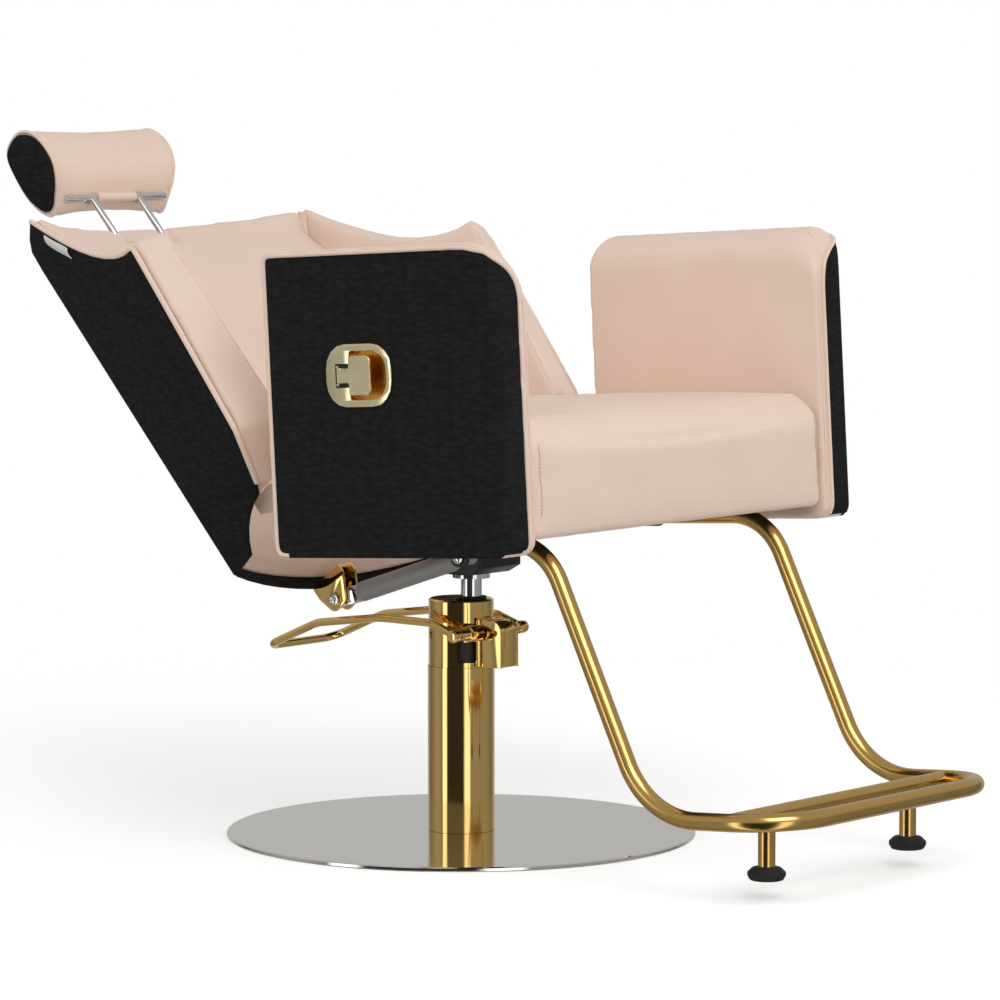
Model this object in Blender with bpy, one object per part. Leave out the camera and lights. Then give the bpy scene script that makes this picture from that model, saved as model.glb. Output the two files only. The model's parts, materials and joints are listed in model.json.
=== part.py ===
"""Barber chair: pumped column, reclining wing back, sliding headrest and fixed footrest loop.

The chair faces -Y and stands on the floor, with the origin under the middle of its base plate.
The back is modelled reclined, as the chair is shown, and the seat stands a little way up its ram.
"""
import math

import bmesh
import bpy
from mathutils import Vector

# Clearances, in metres
GAP = 0.0003
RUN = 0.0005

# Base and column
PLATE_RADIUS = 0.300
PLATE_THICK = 0.006
COLUMN_RADIUS = 0.0428
COLUMN_WALL = 0.004
SEAM_Z = 0.2185
HEAD_RADIUS = 0.0417
HEAD_WALL = 0.004
COLUMN_TOP = 0.304
RAM_RADIUS = 0.0135
RAM_Y = -0.017
RAM_FOOT = 0.050
GLAND_RADIUS = 0.0195
GLAND_HEIGHT = 0.0035
CYLINDER_WALL = 0.004
COLLAR_RADIUS = 0.024
COLLAR_Z = 0.3315
COLLAR_HEIGHT = 0.0065
SPIGOT_RADIUS = 0.011
SPIGOT_HEIGHT = 0.016

# Pump pedal
SHAFT_RADIUS = 0.007
SHAFT_Y = -0.0447
SHAFT_Z = 0.264
PEDAL_HALF_WIDTH = 0.066
BOSS_RADIUS = 0.0105
BOSS_LENGTH = 0.013
PEDAL_BAR_RADIUS = 0.0053
PEDAL_CORNER = 0.022
BLOCK_WIDTH = 0.030
BLOCK_FRONT = -0.079
BLOCK_BOTTOM = 0.221
BLOCK_TOP = 0.281
WINDOW_WIDTH = 0.046
RELIEF_FRONT = -0.058
RELIEF_TOP = 0.2515

# Seat, raked about the top of the ram
RAKE = math.radians(3.5)
RAKE_Y = RAM_Y
RAKE_Z = 0.360
SEAT_HALF_WIDTH = 0.2940
SEAT_FRONT = -0.346
SEAT_SHOULDER = 0.012
TONGUE_HALF_WIDTH = 0.183
SEAT_REAR = 0.085
SEAT_BOTTOM = 0.0396
SEAT_TOP = 0.186
SEAT_CROWN = 0.012
SEAT_EDGE = 0.045
SEAT_DRAW = 0.004
FRAME_THICK = 0.003
FRAME_RECESS = 0.010
FRAME_FRONT = -0.325
FRAME_REAR = 0.030

# Arms
ARM_CLEAR = 0.0005
ARM_WIDTH = 0.0555
ARM_FRONT = -0.346
ARM_REAR = 0.021
ARM_BOTTOM = 0.024
ARM_TOP = 0.397
ARM_DROP = 0.040
ARM_NOSE = 0.042
ARM_CORNER = 0.012
PANEL_THICK = 0.006
PANEL_RETURN = 0.037
PANEL_MARGIN = 0.006
COVER_RUN = 0.070
COVER_FALL = 0.045
RETURN_FALL = 0.030
ARM_INNER = SEAT_HALF_WIDTH + ARM_CLEAR
ARM_OUTER = ARM_INNER + ARM_WIDTH

# Recline latch on the right arm
LATCH_REAR = -0.079
LATCH_FRONT = -0.182
LATCH_LOW = 0.206
LATCH_HIGH = 0.282
LATCH_CORNER = 0.030
LATCH_THICK = 0.0025
WELL_REAR = -0.115
WELL_FRONT = -0.175
WELL_DEPTH = 0.012
WELL_MARGIN = 0.007
WELL_ROUND = 0.024
WELL_NECK = 0.005
WELL_WALL = 0.0015
PADDLE_THICK = 0.004
PADDLE_PIVOT = -0.101
PADDLE_STEM = 0.018
PADDLE_NECK = -0.118
PADDLE_END = -0.152
PADDLE_HEIGHT = 0.048
LATCH_PIN_RADIUS = 0.002

# Footrest
TUBE_RADIUS = 0.011
TUBE_HALF_WIDTH = 0.226
TUBE_REAR = -0.090
TUBE_TOP = 0.0345
TUBE_KNEE = -0.3026
TUBE_HEEL = -0.4394
TUBE_LOW = -0.294
TUBE_FRONT = -0.640
TUBE_BEND = 0.055
TUBE_CORNER = 0.080
BAR_RADIUS = 0.010
BAR_Y = -0.556
POST_RADIUS = 0.0105
POST_HALF_SPACING = 0.147
PAD_RADIUS = 0.023
PAD_HEIGHT = 0.016
PAD_FLOOR = 0.0228
CLAMP_LENGTH = 0.030
CLAMP_WALL = 0.003
CLAMP_Y = -0.115

# Backrest, in a frame that leans back from a point under the seat's rear edge
LEAN_Y = 0.040
LEAN_Z = 0.395
RECLINE = math.radians(41.6)
REAR_DEPTH = 0.112
REAR_HALF_WIDTH = 0.271
SHELL_FOOT = 0.032
SWEEP_RADIUS = 0.076
SIDE_THICK = 0.007
PANEL_SHEET = 0.007
PANEL_BULGE = 0.060
PANEL_RISE = 0.036
CORNER_ROLL = 0.024
ROLL_START = 0.92
TOP_POWER = 1.74
WING_FOOT = (0.290, -0.012, 0.088)
WING_KNEE = (0.346, -0.070, 0.130)
WING_TIP = (0.352, -0.092, 0.403)
CORNER_Z = 0.590
SEAM_FOOT = (0.258, -0.020)
SEAM_KNEE = (0.270, -0.088)
SEAM_TIP = (0.300, -0.110)
SIDE_CLEAR = 0.0018
FRONT_TRIM = 0.045
PANEL_CLEAR = 0.0022
PAD_OVERHANG = 0.007
PAD_CORNER_RISE = 0.012
BACK_PAD_HALF_WIDTH = 0.252
BACK_PAD_THICK = 0.050
BACK_PAD_CROWN = 0.014
BACK_PAD_HEM = 0.010
BACK_PAD_FOOT_SHARE = 0.015

# Recline hinges
AXIS_Y = 0.045
AXIS_Z = 0.450
TRAVEL = math.radians(20.0)
EAR_INSET = 0.025
EAR_THICK = 0.006
EYE_RADIUS = 0.016
HINGE_ARM_REAR = 0.034
HINGE_ARM_DEPTH = 0.020
HINGE_PIN_RADIUS = 0.006
HINGE_HEAD = 0.004
HINGE_HEAD_RADIUS = 0.0095
EAR_X = REAR_HALF_WIDTH - EAR_INSET

# Gas spring under the seat
SPRING_X = -0.060
SPRING_Y = -0.0590
SPRING_Z = 0.3655
SPRING_END_Y = 0.1490
SPRING_END_Z = 0.2977
SPRING_RADIUS = 0.013
SPRING_BODY = 0.184
SPRING_EYE = 0.011
SPRING_ROD_RADIUS = 0.004
SPRING_PIN_RADIUS = 0.005
SPRING_SLACK = 0.002
CLEVIS_HALF_WIDTH = 0.009
CLEVIS_BACK = 0.011
BRACKET_PLATE = 0.004
BRACKET_RADIUS = 0.013
LUG_THICK = 0.005
MOUNT_HALF_WIDTH = 0.042
MOUNT_FRONT = -0.064
MOUNT_REAR = 0.010

# Headrest
POST_X = 0.045
POST_DEPTH = 0.150
HEAD_POST_RADIUS = 0.0045
SLEEVE_WALL = 0.0025
SLEEVE_LENGTH = 0.170
HEAD_BAR_Z = 0.6805
HEAD_BAR_HALF = 0.096
HEAD_BAR_RADIUS = 0.005
HEAD_HALF_WIDTH = 0.118
HEAD_END_THICK = 0.005
HEAD_MIDDLE = 0.058
HEAD_BELLY = 0.063
HEAD_DROP = 0.071
HEAD_TAPER = 0.0126
HEAD_END_SHRINK = 0.9
HEAD_POST_FOOT = 0.488

# Release cable
CABLE_RADIUS = 0.002


def clear_scene():
    for item in list(bpy.data.objects):
        bpy.data.objects.remove(item, do_unlink=True)


def linear(hex_colour):
    """sRGB hex text to linear RGB."""
    values = [int(hex_colour[i:i + 2], 16) / 255 for i in (0, 2, 4)]
    return [v / 12.92 if v <= 0.04045 else ((v + 0.055) / 1.055) ** 2.4 for v in values]


def material(name, hex_colour, roughness, metallic):
    made = bpy.data.materials.new(name)
    made.use_nodes = True
    shader = made.node_tree.nodes["Principled BSDF"]
    shader.inputs["Base Color"].default_value = (*linear(hex_colour), 1.0)
    shader.inputs["Roughness"].default_value = roughness
    shader.inputs["Metallic"].default_value = metallic
    return made


def frame_empty(name, location, tilt=0.0, parent=None):
    """A reference frame: an empty on a joint's axis, turned about X."""
    empty = bpy.data.objects.new(name, None)
    empty.location = location
    empty.rotation_euler = (tilt, 0.0, 0.0)
    empty.parent = parent
    bpy.context.scene.collection.objects.link(empty)
    return empty


def add(name, mesh_data, look, parent=None, smooth_angle=40.0):
    """Turns a bmesh into a named object in its parent's frame."""
    bmesh.ops.remove_doubles(mesh_data, verts=mesh_data.verts, dist=1e-6)
    bmesh.ops.recalc_face_normals(mesh_data, faces=mesh_data.faces)
    mesh = bpy.data.meshes.new(name)
    mesh_data.to_mesh(mesh)
    mesh_data.free()
    mesh.shade_smooth()
    mesh.set_sharp_from_angle(angle=math.radians(smooth_angle))
    made = bpy.data.objects.new(name, mesh)
    if look:
        mesh.materials.append(look)
    made.parent = parent
    bpy.context.scene.collection.objects.link(made)
    return made


def cutter(name, mesh_data, parent=None):
    tool = add(name, mesh_data, None, parent)
    tool.hide_render = True
    tool.display_type = "WIRE"
    return tool


def combine(target, tool, operation="DIFFERENCE"):
    boolean = target.modifiers.new(tool.name, "BOOLEAN")
    boolean.operation = operation
    boolean.object = tool


def soften(target, width, segments=2, angle=40.0):
    bevel = target.modifiers.new("softened edges", "BEVEL")
    bevel.width = width
    bevel.segments = segments
    bevel.limit_method = "ANGLE"
    bevel.angle_limit = math.radians(angle)


def fillet(before, corner, after, radius, steps):
    """Points of the arc that rounds one corner of a path."""
    first = (before - corner).normalized()
    second = (after - corner).normalized()
    half = first.angle(second) / 2
    reach = radius / math.tan(half)
    centre = corner + (first + second).normalized() * radius / math.sin(half)
    start = (corner + first * reach - centre).normalized()
    end = (corner + second * reach - centre).normalized()
    return [centre + start.slerp(end, i / steps) * radius for i in range(steps + 1)]


def bent_path(corners, steps=6):
    """An open path whose inner corners, given as (point, radius), are rounded."""
    points = [Vector(corners[0][0])]
    for before, (corner, radius), after in zip(corners, corners[1:], corners[2:]):
        points += fillet(Vector(before[0]), Vector(corner), Vector(after[0]), radius, steps)
    return points + [Vector(corners[-1][0])]


def rounded_outline(corners, steps=4):
    """A closed plane outline from (a, b, radius) corners."""
    flat = [Vector((a, b, 0.0)) for a, b, _ in corners]
    points = []
    for i, (_, _, radius) in enumerate(corners):
        before, after = flat[i - 1], flat[(i + 1) % len(flat)]
        if radius:
            points += fillet(before, flat[i], after, radius, steps)
        else:
            points.append(flat[i])
    return [(p.x, p.y) for p in points]


def smooth_loop(keys, steps):
    """A closed Catmull-Rom curve through plane key points."""
    points = []
    count = len(keys)
    for i in range(count):
        a, b, c, d = (Vector(keys[(i + k) % count]) for k in (-1, 0, 1, 2))
        for step in range(steps):
            t = step / steps
            point = b + 0.5 * t * (c - a + t * (2 * a - 5 * b + 4 * c - d + t * (3 * (b - c) + d - a)))
            points.append((point.x, point.y))
    return points


def placed(axis, along, a, b):
    """A point at a distance along an axis, with its two other coordinates in order."""
    if axis == "X":
        return (along, a, b)
    if axis == "Y":
        return (a, along, b)
    return (a, b, along)


def prism(outline, axis, low, high):
    """A plane outline pushed along an axis from low to high."""
    mesh_data = bmesh.new()
    ends = []
    for along in (low, high):
        ends.append([mesh_data.verts.new(placed(axis, along, a, b)) for a, b in outline])
    for ring in ends:
        mesh_data.faces.new(ring)
    for i in range(len(outline)):
        j = (i + 1) % len(outline)
        mesh_data.faces.new((ends[0][i], ends[0][j], ends[1][j], ends[1][i]))
    return mesh_data


def box(low, high):
    return prism([(low[0], low[1]), (high[0], low[1]), (high[0], high[1]), (low[0], high[1])],
                 "Z", low[2], high[2])


def turned(profile, axis="Z", centre=(0.0, 0.0), segments=32):
    """A profile of (radius, along) points turned about an axis through centre.

    A profile that starts and ends at radius 0 is solid. Any other is closed into a ring.
    """
    mesh_data = bmesh.new()
    rings = []
    for radius, along in profile:
        if radius == 0:
            rings.append([mesh_data.verts.new(placed(axis, along, *centre))])
            continue
        ring = []
        for i in range(segments):
            angle = 2 * math.pi * i / segments
            a = centre[0] + radius * math.cos(angle)
            b = centre[1] + radius * math.sin(angle)
            ring.append(mesh_data.verts.new(placed(axis, along, a, b)))
        rings.append(ring)
    pairs = list(zip(rings, rings[1:]))
    if profile[0][0] > 0:
        pairs.append((rings[-1], rings[0]))
    for first, second in pairs:
        for i in range(segments):
            j = (i + 1) % segments
            if len(first) == 1:
                mesh_data.faces.new((first[0], second[i], second[j]))
            elif len(second) == 1:
                mesh_data.faces.new((first[i], second[0], first[j]))
            else:
                mesh_data.faces.new((first[i], second[i], second[j], first[j]))
    return mesh_data


def rod(radius, axis, low, high, centre, segments=20):
    return turned([(0, low), (radius, low), (radius, high), (0, high)], axis, centre, segments)


def ring(inner, outer, axis, low, high, centre, segments=32):
    profile = [(inner, low), (outer, low), (outer, high), (inner, high)]
    return turned(profile, axis, centre, segments)


def sweep(points, radius, sides=12):
    """A round bar along a path, with flat ends."""
    mesh_data = bmesh.new()
    rings = []
    across = None
    for i, point in enumerate(points):
        heading = (points[min(i + 1, len(points) - 1)] - points[max(i - 1, 0)]).normalized()
        if across is None:
            across = heading.orthogonal().normalized()
        across = (across - heading * across.dot(heading)).normalized()
        other = heading.cross(across)
        ring_verts = []
        for k in range(sides):
            angle = 2 * math.pi * k / sides
            offset = across * math.cos(angle) + other * math.sin(angle)
            ring_verts.append(mesh_data.verts.new(point + offset * radius))
        rings.append(ring_verts)
    for first, second in zip(rings, rings[1:]):
        for k in range(sides):
            j = (k + 1) % sides
            mesh_data.faces.new((first[k], first[j], second[j], second[k]))
    mesh_data.faces.new(rings[0])
    mesh_data.faces.new(rings[-1])
    return mesh_data


def layered(outer, inner):
    """A closed body between two surfaces, each a grid of points with as many rows and columns."""
    mesh_data = bmesh.new()
    faces = []
    for grid in (outer, inner):
        faces.append([[mesh_data.verts.new(p) for p in row] for row in grid])
    rows, columns = len(outer), len(outer[0])
    for verts in faces:
        for r in range(rows - 1):
            for c in range(columns - 1):
                mesh_data.faces.new((verts[r][c], verts[r][c + 1], verts[r + 1][c + 1], verts[r + 1][c]))
    border = [(0, c) for c in range(columns)]
    border += [(r, columns - 1) for r in range(1, rows)]
    border += [(rows - 1, c) for c in range(columns - 2, -1, -1)]
    border += [(r, 0) for r in range(rows - 2, 0, -1)]
    for (r1, c1), (r2, c2) in zip(border, border[1:] + border[:1]):
        mesh_data.faces.new((faces[0][r1][c1], faces[0][r2][c2], faces[1][r2][c2], faces[1][r1][c1]))
    return mesh_data


def seat_to_world(y, z):
    """A point of the raked seat frame as world Y and Z."""
    world_y = RAKE_Y + y * math.cos(RAKE) + z * math.sin(RAKE)
    world_z = RAKE_Z - y * math.sin(RAKE) + z * math.cos(RAKE)
    return world_y, world_z


def world_to_seat(y, z):
    dy, dz = y - RAKE_Y, z - RAKE_Z
    return dy * math.cos(RAKE) - dz * math.sin(RAKE), dy * math.sin(RAKE) + dz * math.cos(RAKE)


def frame_underside(world_y):
    """World height just under the raked seat frame at a world depth."""
    level = SEAT_BOTTOM + FRAME_RECESS - FRAME_THICK - 2 * GAP
    along = (world_y - RAKE_Y - level * math.sin(RAKE)) / math.cos(RAKE)
    return seat_to_world(along, level)[1]


def world_to_back(y, z):
    dy, dz = y - LEAN_Y, z - LEAN_Z
    across = dy * math.cos(RECLINE) - dz * math.sin(RECLINE)
    along = dy * math.sin(RECLINE) + dz * math.cos(RECLINE)
    return across, along


clear_scene()

polished_gold = material("polished brass plate", "B08D45", 0.18, 1.0)
satin_gold = material("satin brass plate", "B8954A", 0.30, 1.0)
pale_gold = material("pale gold plate", "D8CB94", 0.28, 1.0)
amber = material("dark amber enamel", "8A5A12", 0.35, 0.6)
steel_mirror = material("polished stainless steel", "B9B6AF", 0.12, 1.0)
chrome = material("chrome plate", "D5D5D2", 0.10, 1.0)
grey_paint = material("grey enamel", "8C8C89", 0.40, 0.2)
black_paint = material("black powder coat", "1A1A1A", 0.50, 0.1)
black_cloth = material("black upholstery cloth", "1C1C1C", 0.80, 0.0)
blush_leather = material("blush leatherette", "E4C6B2", 0.50, 0.0)
rubber = material("black rubber", "161616", 0.75, 0.0)

seat = frame_empty("seat_rake", (0.0, RAKE_Y, RAKE_Z), -RAKE)
recline_axis = frame_empty("recline_axis", (0.0, AXIS_Y, AXIS_Z))
back = frame_empty("back_lean", (0.0, LEAN_Y - AXIS_Y, LEAN_Z - AXIS_Z), -RECLINE, recline_axis)
pedal = frame_empty("pedal_axis", (0.0, SHAFT_Y, SHAFT_Z))

# Base plate: a thin polished disc with a softened rim
plate_rim = 0.0015
add("base_plate", turned([
    (0, 0), (PLATE_RADIUS - plate_rim, 0), (PLATE_RADIUS, plate_rim),
    (PLATE_RADIUS, PLATE_THICK - plate_rim), (PLATE_RADIUS - plate_rim, PLATE_THICK), (0, PLATE_THICK),
], segments=72), steel_mirror)

# Column: a lower tube, and a head with an off-centre hole for the ram
column_foot = PLATE_THICK + GAP
add("column_tube", ring(COLUMN_RADIUS - COLUMN_WALL, COLUMN_RADIUS, "Z", column_foot,
                        SEAM_Z - GAP, (0.0, 0.0), 48), polished_gold)
head_inside = HEAD_RADIUS - HEAD_WALL
head_rim = 0.002
column_head = add("column_head", turned([
    (0, COLUMN_TOP), (HEAD_RADIUS - head_rim, COLUMN_TOP), (HEAD_RADIUS, COLUMN_TOP - head_rim),
    (HEAD_RADIUS, SEAM_Z), (head_inside, SEAM_Z), (head_inside, COLUMN_TOP - HEAD_WALL),
    (0, COLUMN_TOP - HEAD_WALL),
], segments=48), polished_gold)
ram_centre = (0.0, RAM_Y)
combine(column_head, cutter("ram_hole", rod(RAM_RADIUS + RUN, "Z", COLUMN_TOP - 2 * HEAD_WALL,
                                            COLUMN_TOP + HEAD_WALL, ram_centre, 30)))
window_low = SHAFT_Z - 2.2 * SHAFT_RADIUS
window_high = SHAFT_Z + 1.6 * SHAFT_RADIUS
combine(column_head, cutter("shaft_window", box(
    (-WINDOW_WIDTH / 2, -HEAD_RADIUS - HEAD_WALL, window_low),
    (WINDOW_WIDTH / 2, SHAFT_Y + SHAFT_RADIUS + 2 * HEAD_WALL, window_high))))
add("pump_cylinder", ring(RAM_RADIUS + RUN, RAM_RADIUS + RUN + CYLINDER_WALL, "Z", column_foot,
                          COLUMN_TOP - HEAD_WALL - GAP, ram_centre), chrome)
add("ram_gland", ring(RAM_RADIUS + RUN, GLAND_RADIUS, "Z", COLUMN_TOP + GAP,
                      COLUMN_TOP + GAP + GLAND_HEIGHT, ram_centre, 32), rubber)

# Pump block on the front of the head, bored for the pedal shaft
block_round = 0.016
pump_block = add("pump_block", prism(rounded_outline([
    (BLOCK_FRONT, BLOCK_BOTTOM, 0.002), (-HEAD_RADIUS / 2, BLOCK_BOTTOM, 0),
    (-HEAD_RADIUS / 2, BLOCK_TOP, 0), (BLOCK_FRONT, BLOCK_TOP, block_round),
]), "X", -BLOCK_WIDTH / 2, BLOCK_WIDTH / 2), polished_gold)
combine(pump_block, cutter("head_seat", rod(HEAD_RADIUS + GAP, "Z", BLOCK_BOTTOM - HEAD_WALL,
                                            BLOCK_TOP + HEAD_WALL, (0.0, 0.0), 48)))
combine(pump_block, cutter("shaft_bore", rod(SHAFT_RADIUS + RUN, "X", -BLOCK_WIDTH, BLOCK_WIDTH,
                                             (SHAFT_Y, SHAFT_Z), 24)))
combine(pump_block, cutter("block_relief", box((-BLOCK_WIDTH, RELIEF_FRONT, BLOCK_BOTTOM - HEAD_WALL),
                                               (BLOCK_WIDTH, 0.0, RELIEF_TOP))))

# Ram: a rod with the collar and spigot that carry the seat
collar_top = COLLAR_Z + COLLAR_HEIGHT
spigot_top = collar_top + SPIGOT_HEIGHT
add("piston_rod", turned([
    (0, RAM_FOOT), (RAM_RADIUS, RAM_FOOT), (RAM_RADIUS, COLLAR_Z), (COLLAR_RADIUS, COLLAR_Z),
    (COLLAR_RADIUS, collar_top), (SPIGOT_RADIUS, collar_top), (SPIGOT_RADIUS, spigot_top),
    (0, spigot_top),
], centre=ram_centre), chrome)

# Pedal: a shaft through the block, and a hoop that straddles the column
shaft_half = PEDAL_HALF_WIDTH + BOSS_LENGTH / 2 + 0.002
add("pedal_shaft", rod(SHAFT_RADIUS, "X", -shaft_half, shaft_half, (0.0, 0.0), 24), polished_gold, pedal)
hoop_side = [
    ((-PEDAL_HALF_WIDTH, 0.004, 0.002), 0.0),
    ((-PEDAL_HALF_WIDTH, 0.040, 0.0140), 0.030),
    ((-PEDAL_HALF_WIDTH, 0.125, 0.0145), 0.150),
    ((-PEDAL_HALF_WIDTH, 0.231, 0.0005), 0.080),
    ((-PEDAL_HALF_WIDTH, 0.318, -0.0365), PEDAL_CORNER),
]
hoop_corners = hoop_side + [((-x, y, z), r) for (x, y, z), r in reversed(hoop_side)]
pedal_hoop = add("pedal_hoop", sweep(bent_path(hoop_corners, 5), PEDAL_BAR_RADIUS, 8), polished_gold, pedal)
for sign in (-1, 1):
    middle = sign * PEDAL_HALF_WIDTH
    boss = cutter("pedal_boss_%d" % sign, rod(BOSS_RADIUS, "X", middle - BOSS_LENGTH / 2,
                                              middle + BOSS_LENGTH / 2, (0.0, 0.0), 24), pedal)
    combine(pedal_hoop, boss, "UNION")
combine(pedal_hoop, cutter("boss_bore", rod(SHAFT_RADIUS + GAP, "X", -2 * shaft_half, 2 * shaft_half,
                                            (0.0, 0.0), 24), pedal))

# Mount: a black casting between the ram's collar and the raked seat frame
frame_top = SEAT_BOTTOM + FRAME_RECESS - GAP
frame_low = frame_top - FRAME_THICK
mount_low = collar_top + GAP
mount_block = add("mount_block", prism([
    (MOUNT_FRONT, mount_low + 0.010), (MOUNT_FRONT + 0.018, mount_low), (MOUNT_REAR, mount_low),
    (MOUNT_REAR, frame_underside(MOUNT_REAR)), (MOUNT_FRONT, frame_underside(MOUNT_FRONT)),
], "X", -MOUNT_HALF_WIDTH, MOUNT_HALF_WIDTH), black_paint)
combine(mount_block, cutter("spigot_bore", rod(SPIGOT_RADIUS + RUN, "Z", mount_low - SPIGOT_HEIGHT,
                                               spigot_top + RUN, ram_centre, 32)))

# Seat frame: one flat plate that carries the cushion, the arms, the mount and the footrest
tab_rear = world_to_seat(AXIS_Y, AXIS_Z)[0] + EYE_RADIUS
tab_inner = EAR_X - 2 * EAR_THICK
tab_outer = EAR_X + 2 * EAR_THICK
frame_half = [
    (SEAT_HALF_WIDTH, FRAME_FRONT, 0.02), (SEAT_HALF_WIDTH, SEAT_SHOULDER, 0.01),
    (tab_outer, FRAME_REAR, 0), (tab_outer, tab_rear, 0.004), (tab_inner, tab_rear, 0.004),
    (tab_inner, FRAME_REAR, 0),
]
add("seat_frame", prism(rounded_outline(
    frame_half + [(-x, y, r) for x, y, r in reversed(frame_half)]), "Z", frame_low, frame_top),
    black_paint, seat)


def drawn_outline(corners, draw, run=5):
    """A rounded outline whose straight sides pull in between their corners."""
    outline = rounded_outline(corners, 4)
    points = []
    for i, (a, b) in enumerate(outline):
        points.append((a, b))
        c, d = outline[(i + 1) % len(outline)]
        length = math.hypot(c - a, d - b)
        if length < 0.05:
            continue
        inward = (-(d - b) / length, (c - a) / length)
        for k in range(1, run):
            t = k / run
            pull = draw * 4 * t * (1 - t)
            points.append((a + (c - a) * t + inward[0] * pull, b + (d - b) * t + inward[1] * pull))
    return points


def cushion(outline, low, high, edge, crown, caps=4):
    """A filled form: upright sides, a round top edge and a crowned top.

    The outline runs anticlockwise. Each ring is the outline moved inwards along its normals.
    """
    count = len(outline)
    normals = []
    for i in range(count):
        a, b = outline[i - 1], outline[(i + 1) % count]
        length = math.hypot(b[0] - a[0], b[1] - a[1])
        normals.append((-(b[1] - a[1]) / length, (b[0] - a[0]) / length))
    levels = [(0.006, low), (0.0015, low + 0.006), (0.0, low + 0.4 * (high - edge - low)), (0.0, high - edge)]
    for step in range(1, 5):
        angle = math.radians(90 * step / 5)
        levels.append((edge * (1 - math.cos(angle)), high - edge + edge * math.sin(angle)))
    rings = []
    for inset, z in levels:
        rings.append([(x + nx * inset, y + ny * inset, z) for (x, y), (nx, ny) in zip(outline, normals)])
    rim = rings[-1]
    middle = [sum(p[k] for p in rim) / count for k in (0, 1)]
    for step in range(1, caps + 1):
        share = 1 - step / (caps + 1)
        z = rim[0][2] + (high + crown - rim[0][2]) * (1 - share ** 2)
        rings.append([(middle[0] + (x - middle[0]) * share, middle[1] + (y - middle[1]) * share, z)
                      for x, y, _ in rim])
    mesh_data = bmesh.new()
    verts = [[mesh_data.verts.new(p) for p in points] for points in rings]
    for first, second in zip(verts, verts[1:]):
        for i in range(count):
            j = (i + 1) % count
            mesh_data.faces.new((first[i], first[j], second[j], second[i]))
    mesh_data.faces.new(verts[0])
    peak = mesh_data.verts.new((middle[0], middle[1], high + crown))
    for i in range(count):
        mesh_data.faces.new((verts[-1][i], verts[-1][(i + 1) % count], peak))
    return mesh_data


# Seat cushion: full width between the arms, with a lip before its frame and a narrower tongue at the rear
seat_cushion = add("seat_cushion", cushion(drawn_outline([
    (-SEAT_HALF_WIDTH, SEAT_FRONT, 0.015), (SEAT_HALF_WIDTH, SEAT_FRONT, 0.015),
    (SEAT_HALF_WIDTH, SEAT_SHOULDER, 0.015), (TONGUE_HALF_WIDTH + 0.02, SEAT_SHOULDER + 0.012, 0.015),
    (TONGUE_HALF_WIDTH, SEAT_REAR, 0.03), (-TONGUE_HALF_WIDTH, SEAT_REAR, 0.03),
    (-TONGUE_HALF_WIDTH - 0.02, SEAT_SHOULDER + 0.012, 0.015), (-SEAT_HALF_WIDTH, SEAT_SHOULDER, 0.015),
], SEAT_DRAW), SEAT_BOTTOM, SEAT_TOP, SEAT_EDGE, SEAT_CROWN), blush_leather, seat, 60)
combine(seat_cushion, cutter("frame_recess", box(
    (-2 * SEAT_HALF_WIDTH, FRAME_FRONT - RUN, SEAT_BOTTOM - FRAME_RECESS),
    (2 * SEAT_HALF_WIDTH, 2 * SEAT_REAR, SEAT_BOTTOM + FRAME_RECESS)), seat))


def arm_section(drop, front):
    """Side outline of an arm, with its top lowered by drop."""
    return rounded_outline([
        (front, ARM_BOTTOM, ARM_CORNER), (ARM_REAR, ARM_BOTTOM, ARM_CORNER),
        (ARM_REAR, ARM_TOP - drop, ARM_CORNER), (front, ARM_TOP - drop, ARM_NOSE),
    ], 5)


def arm_solid(sign):
    """A whole arm: flat outside, with a top that rolls down to the inner face."""
    width = ARM_OUTER - ARM_INNER
    shares = (0.0, 0.1, 0.35, 0.6, 0.8, 0.93, 1.0)
    mesh_data = bmesh.new()
    rings = []
    for share in shares:
        drop = ARM_DROP * (1 - math.sqrt(1 - share ** 2))
        outline = arm_section(drop, ARM_FRONT)
        x = sign * (ARM_OUTER - width * share)
        rings.append([mesh_data.verts.new((x, y, z)) for y, z in outline])
    count = len(rings[0])
    for first, second in zip(rings, rings[1:]):
        for i in range(count):
            j = (i + 1) % count
            mesh_data.faces.new((first[i], first[j], second[j], second[i]))
    mesh_data.faces.new(rings[0])
    mesh_data.faces.new(rings[-1])
    return mesh_data


def quarter(centre, reach, rise, steps=6):
    """Points on a quarter of an ellipse, from its far side over to its top."""
    angles = [math.pi / 2 * step / steps for step in range(steps + 1)]
    return [(centre[0] + reach * math.cos(a), centre[1] + rise * math.sin(a)) for a in angles]


def cover_slab(sign, margin):
    """The outside of an arm that its black cover fills, inside a border at the rear, the top and the nose."""
    rear = ARM_REAR - PANEL_MARGIN + margin
    top = ARM_TOP - PANEL_MARGIN + margin
    nose = (ARM_FRONT + COVER_RUN - margin, top - COVER_FALL)
    outline = [(ARM_FRONT - 0.02, nose[1]), (ARM_FRONT - 0.02, ARM_BOTTOM - 0.02), (rear, ARM_BOTTOM - 0.02), (rear, top)]
    outline += reversed(quarter(nose, -COVER_RUN, COVER_FALL))
    inside = sign * (ARM_OUTER - PANEL_THICK - margin)
    return prism(outline, "X", *sorted((inside, sign * (ARM_OUTER + 0.02))))


def cover_return(sign, margin):
    """The strip of the cover that turns onto the arm's front, with a rounded upper corner."""
    crest = ARM_TOP - PANEL_MARGIN - COVER_FALL + margin
    corner = (sign * (ARM_OUTER - margin), crest - RETURN_FALL)
    beyond = sign * (ARM_OUTER + 0.02)
    outline = quarter(corner, -sign * PANEL_RETURN, RETURN_FALL)
    outline += [(beyond, crest), (beyond, ARM_BOTTOM - 0.02), (outline[0][0], ARM_BOTTOM - 0.02)]
    return prism(outline, "Y", ARM_FRONT - 0.02, ARM_FRONT + PANEL_THICK + margin)


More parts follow.
